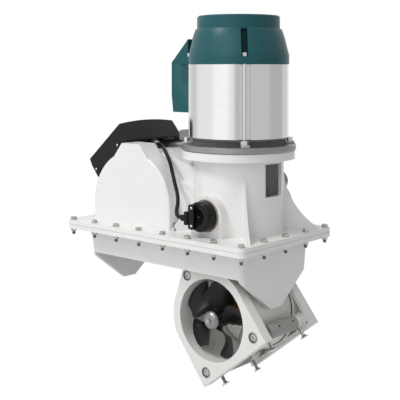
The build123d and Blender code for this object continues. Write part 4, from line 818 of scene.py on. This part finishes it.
@dataclass
class Hull:
    """Lower casing, gasket and upper housing with their ring of flange bolts."""

    pitch_long: float = 76.0
    bolts_long: int = 8
    pitch_short: float = 80.0
    bolts_short: int = 5
    across_flats: float = 13.0
    head: float = 5.5
    nut: float = 6.5
    shank_radius: float = 3.9
    shank: float = 34.0
    washer: float = 1.6
    washer_radius: float = 8.25
    washer_edge: float = 0.25
    tip_radius: float = 4.0
    tip: float = 11.6
    tip_start: float = -4.5
    tip_edge: float = 1.6
    bolt_turn: float = 17.0

    def bolt_points(self) -> list[Flat]:
        """Space the bolts evenly round the flange, the corner ones counted once.

        Returns:
            The X and Y of each bolt.
        """
        xs = [(i - (self.bolts_long - 1) / 2) * self.pitch_long for i in range(self.bolts_long)]
        ys = [(j - (self.bolts_short - 1) / 2) * self.pitch_short for j in range(self.bolts_short)]
        sides = [(x, y) for y in (ys[0], ys[-1]) for x in xs]
        return sides + [(x, y) for x in (xs[0], xs[-1]) for y in ys[1:-1]]

    def fasteners(self) -> None:
        """Make the chamfered bolts, washers and nuts of the flange."""
        bolts, nuts, washers, tips = (bmesh.new() for _ in range(4))
        for count, (x, y) in enumerate(self.bolt_points()):
            turn = Matrix.Rotation(radians(self.bolt_turn * count), 4, "Z")
            seat = DECK + self.washer
            hexagon_head(bolts, self.across_flats, self.head, at(x, y, seat) @ turn)
            rod(bolts, self.shank_radius, self.shank, facing((x, y, seat), (0, 0, -1)))
            under = facing((x, y, self.tip_start), (0, 0, -1))
            rod(tips, self.tip_radius, self.tip, under, self.tip_edge)
            below = facing((x, y, -self.washer), (0, 0, -1))
            hexagon_head(nuts, self.across_flats, self.nut, below @ turn)
            for z in (DECK, -self.washer):
                rod(washers, self.washer_radius, self.washer, at(x, y, z), self.washer_edge)
        finished("flange_hex_bolts", bolts, STAINLESS, ("flange_bolts",))
        finished("flange_bolt_tips", tips, DARK_STUD, ("flange_bolts",))
        finished("flange_hex_nuts", nuts, STAINLESS, ("flange_nuts",))
        finished("flange_plain_washers", washers, STAINLESS, ("flange_washers",))

    def build(self) -> None:
        """Dress the casing and housing and fit their fasteners."""
        refined("lower_casing", GELCOAT, 2.0)
        refined("upper_housing", GELCOAT, 2.0)
        refined("flange_gasket", JOINT, 0.2)
        self.fasteners()


@dataclass
class Motor:
    """Electric motor on its machined ring, with cap and controller box."""

    can_radius: float = 116.8
    ring_top: float = 222.6
    can_bottom: float = 239.0
    can_top: float = 408.0
    corner: float = 45.0
    bar_circle: float = 108.0
    bar_top: float = 235.2
    bars: int = 156
    bar: Flat = (4.6, 1.9)
    foot: Point = (26.0, 20.0, 6.0)
    foot_shift: float = 3.0
    block_round: float = 1.2
    post: Flat = (16.0, 20.0)
    post_inset: float = 13.8
    bolt_circle: float = 120.5
    bolt_radius: float = 5.0
    bolt_length: float = 34.0
    bolt_head: Flat = (13.0, 9.0)
    rod_circle: float = 113.4
    rod_radius: float = 4.0
    rod_top: float = 431.0
    rod_nut: Flat = (12.0, 8.0)
    nut_z: float = 425.5
    nut_turn: float = 11.0
    cap_step: float = 489.0
    slot_foot: float = 425.0
    slot_half: float = 7.6
    slot_depth: float = 12.0
    lid_rib: Point = (0.8, 1.6, 26.0)
    lid_rib_circle: float = 96.9
    lid_rib_z: float = 503.0
    box_root: float = 60.0
    box_end: float = 8.7
    seam: Point = (20.0, 80.6, 2.0)
    seam_x: float = -6.0
    cap_profile: tuple[Flat, ...] = (
        (0, 520.0), (94.0, 520.0), (96.2, 517.8), (96.8, 490.2), (97.6, 489.0), (100.4, 489.0),
        (103.2, 483.0), (107.2, 471.0), (111.2, 455.0), (114.8, 441.0), (117.4, 429.0),
        (118.0, 425.0), (118.2, 408.0), (114.7, 408.0), (114.5, 425.0), (107.7, 455.0),
        (99.7, 483.0), (93.3, 486.0), (92.0, 515.0), (0, 516.0),
    )

    def around(self, radius: float, angle: float, z: float) -> Matrix:
        """Return the matrix of a place round the motor, its local X pointing outwards."""
        return at(MOTOR_X, 0, z) @ Matrix.Rotation(radians(angle), 4, "Z") @ at(radius, 0, 0)

    def corners(self) -> list[float]:
        """Return the angles of the four feet and tie rods."""
        return [self.corner + 90 * i for i in range(4)]

    def block(self, shape: BMesh, size: Point, place: Matrix) -> None:
        """Add a block with rounded edges that stands on its place."""
        made = box(shape, size, place @ at(0, 0, size[2] / 2))
        ease(shape, list({e for v in made for e in v.link_edges}), self.block_round, 2)

    def grille(self) -> None:
        """Make the dark air grille and the four feet of the drive end shield."""
        foot, shelf, top = self.ring_top + 0.2, self.bar_top - 0.2, self.can_bottom - 0.1
        bars = turned(
            [(26.1, foot), (33.9, foot), (33.9, shelf), (111.4, shelf), (112.0, shelf + 0.6),
             (112.0, top), (26.1, top), (26.1, foot)], at(MOTOR_X, 0, 0), 96,
        )
        height, middle = self.bar_top - self.ring_top, (self.ring_top + self.bar_top) / 2
        for i in range(self.bars):
            place = self.around(self.bar_circle, 360 / self.bars * (i + 0.5), middle)
            box(bars, (*self.bar, height), place)
        finished("air_grille", bars, GRILLE_PAINT, ("drive_end_shield",))
        feet = bmesh.new()
        for angle in self.corners():
            place = self.around(self.bolt_circle - self.foot_shift, angle, self.ring_top)
            self.block(feet, self.foot, place)
            place = self.around(self.can_radius - self.post_inset, angle, self.ring_top)
            self.block(feet, (*self.post, self.can_bottom - self.ring_top), place)
        finished("shield_feet", feet, DIE_CAST, ("drive_end_shield",))

    def fasteners(self) -> None:
        """Make the four foot bolts and the tie rods with their nuts."""
        bolts, rods = bmesh.new(), bmesh.new()
        seat = self.ring_top + self.foot[2]
        for count, angle in enumerate(self.corners()):
            place = self.around(self.bolt_circle, angle, seat)
            turn = Matrix.Rotation(radians(self.nut_turn * count), 4, "Z")
            hexagon_head(bolts, *self.bolt_head, place @ turn)
            downwards = place @ Matrix.Rotation(pi, 4, "X")
            rod(bolts, self.bolt_radius, self.bolt_length, downwards, point=1.0)
            place = self.around(self.rod_circle, angle, self.can_bottom)
            rod(rods, self.rod_radius, self.rod_top - self.can_bottom, place, point=1.2)
            place = self.around(self.rod_circle, angle, self.nut_z)
            hexagon_head(rods, *self.rod_nut, place @ turn)
        finished("foot_bolts", bolts, BRIGHT_ZINC, ("mount_bolts",))
        finished("tie_rods_and_nuts", rods, BRIGHT_ZINC, ("motor_tie_rods",))

    def slot(self, shape: BMesh, angle: float) -> None:
        """Sink a tie rod's slot through the cap's flank, from its foot up to the step.

        Args:
            shape: Mesh of the cap.
            angle: Angle of the slot round the motor.
        """
        turn = Matrix.Rotation(radians(angle), 4, "Z")
        out, across = turn @ Vector((1, 0, 0)), turn @ Vector((0, 1, 0))
        axis, this_side, edge_on = Vector((MOTOR_X, 0, 0)), 60.0, 0.3

        def within(face: bmesh.types.BMFace, half: float) -> bool:
            """Tell whether a face of the flank lies over the slot.

            Args:
                face: A face of the cap.
                half: Half of the width that counts.

            Returns:
                Whether its middle is within that width and the slot's height.
            """
            middle = face.calc_center_median() - axis
            return (
                self.slot_foot < middle.z < self.cap_step and middle.dot(out) > this_side
                and abs(middle.dot(across)) < half and abs(face.normal.dot(out)) > edge_on
            )

        for side in (-1, 1):
            flank = [f for f in shape.faces if within(f, 5 * self.slot_half)]
            rims = {*(e for f in flank for e in f.edges), *(v for f in flank for v in f.verts)}
            bmesh.ops.bisect_plane(
                shape, geom=[*flank, *rims], dist=0.001,
                plane_co=axis + across * side * self.slot_half, plane_no=across,
            )
        strip = [f for f in shape.faces if within(f, self.slot_half)]
        inner = [f for f in strip if f.normal.dot(out) < 0]
        strip = [f for f in strip if f.normal.dot(out) > 0]
        bmesh.ops.delete(shape, geom=inner, context="FACES_ONLY")
        verts = verts_of(bmesh.ops.extrude_face_region(shape, geom=strip)["geom"])
        bmesh.ops.delete(shape, geom=[f for f in strip if f.is_valid], context="FACES_ONLY")
        bmesh.ops.translate(shape, vec=out * -self.slot_depth, verts=verts)
        # The sunk floor takes the darker teal: painted shade in the slot
        as_shade_and_seam(verts)

    def cap(self) -> None:
        """Make the cap with its lid, its crowned flank and its four slots."""
        shape = turned(self.cap_profile, at(MOTOR_X, 0, 0), 96)
        for angle in self.corners():
            self.slot(shape, angle)
            box(shape, self.lid_rib, self.around(self.lid_rib_circle, angle, self.lid_rib_z))
        piece = finished("motor_cap_turned", shape, TEAL, ("motor_cap",), sharp=28.0, bevel=0.8)
        # Second material: painted shade on the slots' floors
        piece.data.materials.append(TEAL_SHADE_AND_SEAM.material())

    def controller(self) -> None:
        """Dress the controller box, its upper part ended where it clears the cap's flank."""
        whole = bmesh.new()
        for keep_up, reach in ((False, self.box_root), (True, self.box_end)):
            part = merged("controller_box")
            for place, normal in (
                ((0, 0, self.can_top), (0, 0, -1 if keep_up else 1)), ((reach, 0, 0), (1, 0, 0))
            ):
                cut = bmesh.ops.bisect_plane(
                    part, geom=[*part.verts, *part.edges, *part.faces], dist=0.001,
                    plane_co=place, plane_no=normal, clear_outer=True,
                )["geom_cut"]
                edges = [e for e in cut if isinstance(e, bmesh.types.BMEdge)]
                if edges:
                    bmesh.ops.triangle_fill(part, use_beauty=True, use_dissolve=True, edges=edges)
            bmesh.ops.recalc_face_normals(part, faces=part.faces)
            take_in(whole, part)
        # A thin darker teal box marks the seam between the box's two parts
        as_shade_and_seam(box(whole, self.seam, at(self.seam_x, 0, self.can_top - self.seam[2] / 2)))
        piece = finished(
            "controller_box_dressed", whole, TEAL, ("controller_box",), sharp=30.0, bevel=1.6,
            segments=3,
        )
        piece.data.materials.append(TEAL_SHADE_AND_SEAM.material())

    def build(self) -> None:
        """Dress the motor's pieces."""
        refined("motor_mount_ring", IRON_RING, 0.8)
        refined("motor_body", BRUSHED_CAN, 1.2)
        self.cap()
        self.controller()
        self.grille()
        self.fasteners()
        dressed(DIE_CAST, "upper_end_shield")
        dressed(
            STEEL, "motor_bearings", "field_poles", "motor_shaft", "motor_rotor", "motor_coupling"
        )
        dressed(BUSH, "brush_ring")
        dressed(COPPER, "commutator")
        refined("terminal_block", GREY_ABS, 1.5)


@dataclass
class ControlBox:
    """Black box on the doghouse roof with its lugs, screws and outlets."""

    side: float = 97.0
    crown: float = 6.5
    stations: int = 14
    rim: float = 1.4
    sink: float = 0.4
    lugs: tuple[Flat, ...] = ((-173.3, 207.4), (-250.2, 142.0))
    peg_shift: Flat = (9.0, -6.0)
    peg_radius: float = 4.2
    peg: float = 5.5
    outline: tuple[Flat, ...] = (
        (-169, 261), (-278, 166), (-269, 147), (-247.5, 121), (-229, 140), (-206, 162),
        (-173, 186), (-171, 197), (-150, 204), (-135.5, 221),
    )

    def cover(self) -> None:
        """Make the cover, its top crowned across the boat."""
        shape = bmesh.new()
        line = [
            shape.verts.new((x, -self.side, z + (0 if count < 2 else self.rim)))
            for count, (x, z) in enumerate(self.outline)
        ]
        face = bmesh.ops.contextual_create(shape, geom=line)["faces"][0]
        tops, step = line[:2], 2 * self.side / self.stations
        for station in range(1, self.stations + 1):
            near, far = (2 * end / self.stations - 1 for end in (station - 1, station))
            lift = self.crown * (near**2 - far**2)
            ahead = bmesh.ops.extrude_face_region(shape, geom=[face])["geom"]
            verts = verts_of(ahead)
            if station > 1:
                bmesh.ops.delete(shape, geom=[face], context="FACES_ONLY")
            face = next(f for f in ahead if isinstance(f, bmesh.types.BMFace))
            tops = [v for v in verts if any((v.co - t.co).length < 0.001 for t in tops)]
            bmesh.ops.translate(shape, vec=(0, step, 0), verts=verts)
            bmesh.ops.translate(shape, vec=(0, 0, lift), verts=tops)
        bmesh.ops.recalc_face_normals(shape, faces=shape.faces)
        finished(
            "control_box_crowned", shape, BLACK_ABS, ("control_box_cover",), bevel=1.6, segments=3
        )

    def screws(self) -> None:
        """Make the screwed lugs low on the box's two side walls."""
        lugs, heads = bmesh.new(), bmesh.new()
        for side in (-1, 1):
            wall = side * (self.side - self.sink)
            for x, z in self.lugs:
                out = facing((x, wall, z), (0, side, 0))
                lug = turned([(0, 0), (6.5, 0), (6.0, 1.8), (5.0, 2.2), (0, 2.2)], out, 24)
                take_in(lugs, lug)
                beside = (x + self.peg_shift[0], wall, z + self.peg_shift[1])
                rod(lugs, self.peg_radius, self.peg, facing(beside, (0, side, 0)), point=0.8)
                head = turned(
                    [(0, 2.2), (3.4, 2.2), (3.4, 3.0), (2.9, 3.9), (1.6, 4.6), (1.0, 4.6),
                     (0.8, 3.6), (0, 3.6)], out, 24,
                )
                take_in(heads, head)
        finished("box_lugs", lugs, BLACK_ABS)
        finished("box_screws", heads, STAINLESS)

    def gland(self) -> None:
        """Make the ribbed cable gland and its bright ferrule."""
        place = facing(GLAND_ROOT, GLAND_RUN)
        body = turned(
            [(0, 0), (8, 0), (8, 16.5), (9.6, 17.0), (10, 17.6), (10, 22.4), (9.6, 23), (8, 23.4),
             (8, 26.8), (7, 28), (0, 28)], place, 40,
        )
        finished("gland_body", body, BLACK_NYLON, ("cable_gland",))
        ferrule = turned(
            [(4.6, 28.0), (5.8, 28.0), (6.5, 28.8), (6.5, 33.0), (5.9, 33.6), (5.9, 34.6),
             (6.5, 35.2), (6.5, 41.5), (5.6, GLAND_REACH), (4.6, GLAND_REACH), (4.6, 28.0)],
            place, 40,
        )
        finished("gland_sleeve", ferrule, BRASS, ("gland_ferrule",))

    def build(self) -> None:
        """Dress the box and its gland."""
        self.cover()
        refined("control_box_base", BLACK_ABS, 0.8)
        self.screws()
        self.gland()


@dataclass
class SwingSensor:
    """Round angle sensor on the front boss."""

    boss_front: float = -120.5
    front: float = -146.0
    radius: float = 33.5
    connector: Point = (16.0, 12.0, 56.0)
    connector_shift: float = -14.0
    connector_proud: float = 2.0
    connector_round: float = 6.0

    def body(self) -> None:
        """Make the sensor's turned body with its ribbed skirt and raised connector."""
        place = facing((MOTOR_X, self.boss_front, SWING_Z), (0, -1, 0))
        rim, depth = self.radius, self.boss_front - self.front
        body = turned(
            [(0, 0), (rim, 0), (rim, 5.5), (rim - 0.9, 6.2), (rim - 0.9, 7.2), (rim, 7.9),
             (rim, depth - 5.0), (rim - 0.6, depth - 3.2), (rim - 1.8, depth - 1.5),
             (rim - 3.4, depth - 0.4), (rim - 5.2, depth), (18.4, depth), (17.0, depth - 0.6),
             (14.6, depth - 2.6), (14.0, depth - 3.0), (0, depth - 3.0)], place, 72,
        )
        place = at(MOTOR_X + self.connector_shift, self.front - self.connector_proud, SWING_Z)
        connector = box(body, self.connector, place)
        ends = [
            e for e in {e for v in connector for e in v.link_edges}
            if abs((e.verts[0].co - e.verts[1].co).normalized().y) > 0.9
        ]
        ease(body, ends, self.connector_round, 4)
        finished("sensor_body", body, BLACK_GLOSS, ("swing_sensor",), bevel=0.7)

    def screws(self) -> None:
        """Make the two domed screws and the small centre screw."""
        heads = bmesh.new()
        for x, z, size, seat in (
            (-12.0, 20.0, 3.5, -8.0), (-12.0, -20.0, 3.5, -8.0), (0.0, 0.0, 1.4, 3.0)
        ):
            place = facing((MOTOR_X + x, self.front + seat, SWING_Z + z), (0, -1, 0))
            dome = bmesh.ops.create_uvsphere(heads, u_segments=20, v_segments=10, radius=size)
            dome = dome["verts"]
            for vert in dome:
                vert.co.z = max(vert.co.z, 0.0) * 0.7
            bmesh.ops.transform(heads, matrix=place, verts=dome)
        bmesh.ops.remove_doubles(heads, verts=heads.verts, dist=0.005)
        bmesh.ops.recalc_face_normals(heads, faces=heads.faces)
        finished("sensor_dome_screws", heads, STAINLESS, ("sensor_screws",))

    def build(self) -> None:
        """Dress the sensor, its gasket, plug and screws."""
        refined("sensor_gasket", GASKET, 0.3)
        self.body()
        refined("sensor_plug", BLACK_GLOSS, 1.6, 3)
        self.screws()


@dataclass
class Tunnel:
    """Swinging tunnel with its plates, rods, sleeves and hatch studs."""

    half: float = 102.0
    plate: float = 26.0
    outer: float = 97.5
    recess: float = 6.0
    rods: tuple[Flat, ...] = ((0.0, 115.0), (85.0, -86.0), (-85.0, -86.0))
    rod_radius: float = 6.0
    rod_nut: Flat = (15.4, 4.5)
    stud_y: float = 60.0
    stud_root: float = -94.0
    stud_reach: float = 126.0
    sleeve: Flat = (-53.0, 48.5)
    hole_places: Flat = (-22.0, 30.0)
    hole_radius: float = 2.8
    hole_foot: float = 16.2
    hole_lift: float = 0.9

    def along(self, x: float, y: float, z: float, side: int = -1) -> Matrix:
        """Return the matrix of a place in the tunnel, local Z to the front at -1, rear at 1."""
        return facing(in_tunnel(x, y, z), (0, side, 0))

    def tie_rods(self) -> None:
        """Make the rods with stepped heads in dark cups, a nut on each far end."""
        rods, cups = bmesh.new(), bmesh.new()
        seat = self.half - self.recess
        for x, z in self.rods:
            rod(rods, self.rod_radius, 2 * seat, self.along(x, seat, z), point=0.5)
            for shape, profile in (
                (cups, [(6.2, 0.1), (9.7, 0.1), (9.9, 5.9), (12.2, 6.1), (12.2, 6.6), (11.6, 7.0),
                        (9.4, 7.0), (8.7, 1.6), (6.2, 1.6), (6.2, 0.1)]),
                (rods, [(0, 0.2), (8.2, 0.2), (8.2, 4.4), (7.5, 5.2), (4.2, 5.4), (3.8, 5.0),
                        (3.4, 2.8), (0, 2.8)]),
            ):
                take_in(shape, turned(profile, self.along(x, -seat, z), 40))
            hexagon_head(rods, *self.rod_nut, self.along(x, seat, z, 1))
        finished("stepped_tie_rods", rods, STAINLESS, ("tunnel_tie_rods",), body="tunnel")
        finished("rod_cups", cups, STEEL, ("tunnel_tie_rods",), body="tunnel")

    def sleeves(self) -> None:
        """Make the two sleeves with their collars and bosses, and near-black discs that paint the
        shade in each sleeve's two holes.
        """
        sleeves, hole_shades, collars, bosses = (bmesh.new() for _ in range(4))
        inner = self.half - self.plate
        for x, z in self.rods[1:]:
            out = 1 if x > 0 else -1
            low, high = self.sleeve
            for shape, profile in (
                (sleeves, [(6.1, low), (15.4, low), (17.0, low + 1.6), (17.0, high - 1.6),
                           (15.4, high), (6.1, high), (6.1, low)]),
                (collars, [(6.1, -inner), (9.5, -inner), (9.5, low - 6), (8.0, low - 5.4),
                           (8.0, low - 3.2), (10.5, low - 2.6), (10.5, low), (6.1, low),
                           (6.1, -inner)]),
                (bosses, [(6.1, high), (13.2, high), (14.0, high + 0.8), (15.0, inner),
                          (6.1, inner), (6.1, high)]),
            ):
                take_in(shape, turned(profile, self.along(x, 0, z, 1), 48))
            sideways = in_tunnel(out, 0, 0) - in_tunnel(0, 0, 0)
            # Near-black discs where the sleeve has holes: painted shade of the holes
            for y in self.hole_places:
                place = facing(in_tunnel(x + out * self.hole_foot, y, z), sideways)
                foot = bmesh.ops.create_circle(
                    hole_shades, cap_ends=True, segments=20, radius=self.hole_radius, matrix=place
                )["verts"][0].link_faces[0]
                lip = bmesh.ops.extrude_face_region(hole_shades, geom=[foot])["geom"]
                bmesh.ops.translate(hole_shades, vec=sideways * self.hole_lift, verts=verts_of(lip))
        bmesh.ops.recalc_face_normals(hole_shades, faces=hole_shades.faces)
        finished("stud_sleeves", sleeves, SLEEVE_NYLON, ("hatch_sleeves",), body="tunnel")
        finished("sleeve_collars", collars, STAINLESS, ("hatch_sleeves",), body="tunnel")
        finished("sleeve_bosses", bosses, PLATE_GRP, ("hatch_sleeves",), body="tunnel")
        finished("sleeve_hole_shades", hole_shades, PAINTED_SHADE_BLACK, body="tunnel")

    def studs(self) -> None:
        """Make the four studs with flared heads that the hull hatch hangs on."""
        studs = bmesh.new()
        down = in_tunnel(0, 0, -1) - in_tunnel(0, 0, 0)
        end = self.stud_reach + self.stud_root
        for x in (-self.rods[1][0], self.rods[1][0]):
            for y in (-self.stud_y, self.stud_y):
                stud = turned(
                    [(0, 0), (3.6, 0), (4.0, 0.6), (4.0, end - 6.4), (4.6, end - 5.0),
                     (6.2, end - 3.2), (9.0, end - 1.6), (11.0, end - 1.0), (11.0, end - 0.2),
                     (10.6, end), (3.2, end), (2.6, end - 1.4), (0, end - 1.4)],
                    facing(in_tunnel(x, y, self.stud_root), down), 32,
                )
                take_in(studs, stud)
        finished("flared_studs", studs, STAINLESS, ("hatch_studs",), body="tunnel")

    def gap_shadow_rings(self) -> None:
        """Make the thin dark rings where the tube meets its two plates: painted shadow of the gap
        between them.
        """
        rings = bmesh.new()
        inner = self.half - self.plate
        root = self.outer
        for side in (-1, 1):
            ring = turned(
                [(root, 0), (root + 1.6, 0), (root + 1.6, 1.0), (root + 1.1, 1.6), (root, 1.6),
                 (root, 0)], self.along(0, side * inner, 0, -side), 128,
            )
            take_in(rings, ring)
        finished("tube_gap_shadow_rings", rings, PAINTED_SHADE_BLACK, body="tunnel")

    def build(self) -> None:
        """Dress the tunnel."""
        refined("tunnel_tube", PLATE_GRP, 0.8)
        refined("front_tunnel_plate", PLATE_GRP, 1.5, 3)
        refined("rear_tunnel_plate", PLATE_GRP, 1.5, 3)
        self.tie_rods()
        self.sleeves()
        self.studs()
        self.gap_shadow_rings()
        refined("tunnel_spider", PLATE_GRP, 0.6)
        refined("coupler_pin", STAINLESS, 0.4)


@dataclass
class Drive:
    """Leg, gears, propeller, tilt link and swing drive."""

    def build(self) -> None:
        """Dress the drive's pieces."""
        for node, finish, bevel in (
            ("drive_leg", BRONZE, 1.5), ("propeller", BLACK_NYLON, 0.8),
            ("propeller_anode", ZINC, 0.8), ("anode_screw", STAINLESS, 0.4),
            ("tilt_link", STAINLESS, 0.6), ("link_bracket", STAINLESS, 0.6),
            ("swing_drive_case", DIE_CAST, 1.0), ("swing_drive_cover", DIE_CAST, 0.6),
            ("swing_motor", STEEL, 1.0),
        ):
            refined(node, finish, bevel)
        dressed(
            STEEL, "drive_bearings", "swing_sector", "spider_retainer", "leg_shaft", "bevel_pinion",
            "bevel_wheel", "swing_pinion",
        )
        dressed(STAINLESS, "swing_pins", "propeller_shaft")
        dressed(BUSH, "swing_bushes")


def main() -> None:
    """Build the studio and every sub-assembly in order, and note the sizes."""
    logging.basicConfig(level=logging.INFO, format="%(name)s: %(message)s")
    Studio().build()
    bpy.context.scene.view_settings.view_transform = "Standard"
    for assembly in (Cables(), Hull(), Motor(), ControlBox(), SwingSensor(), Tunnel(), Drive()):
        assembly.build()
        LOG.info("%s is dressed", type(assembly).__name__)


if __name__ == "__main__":
    main()
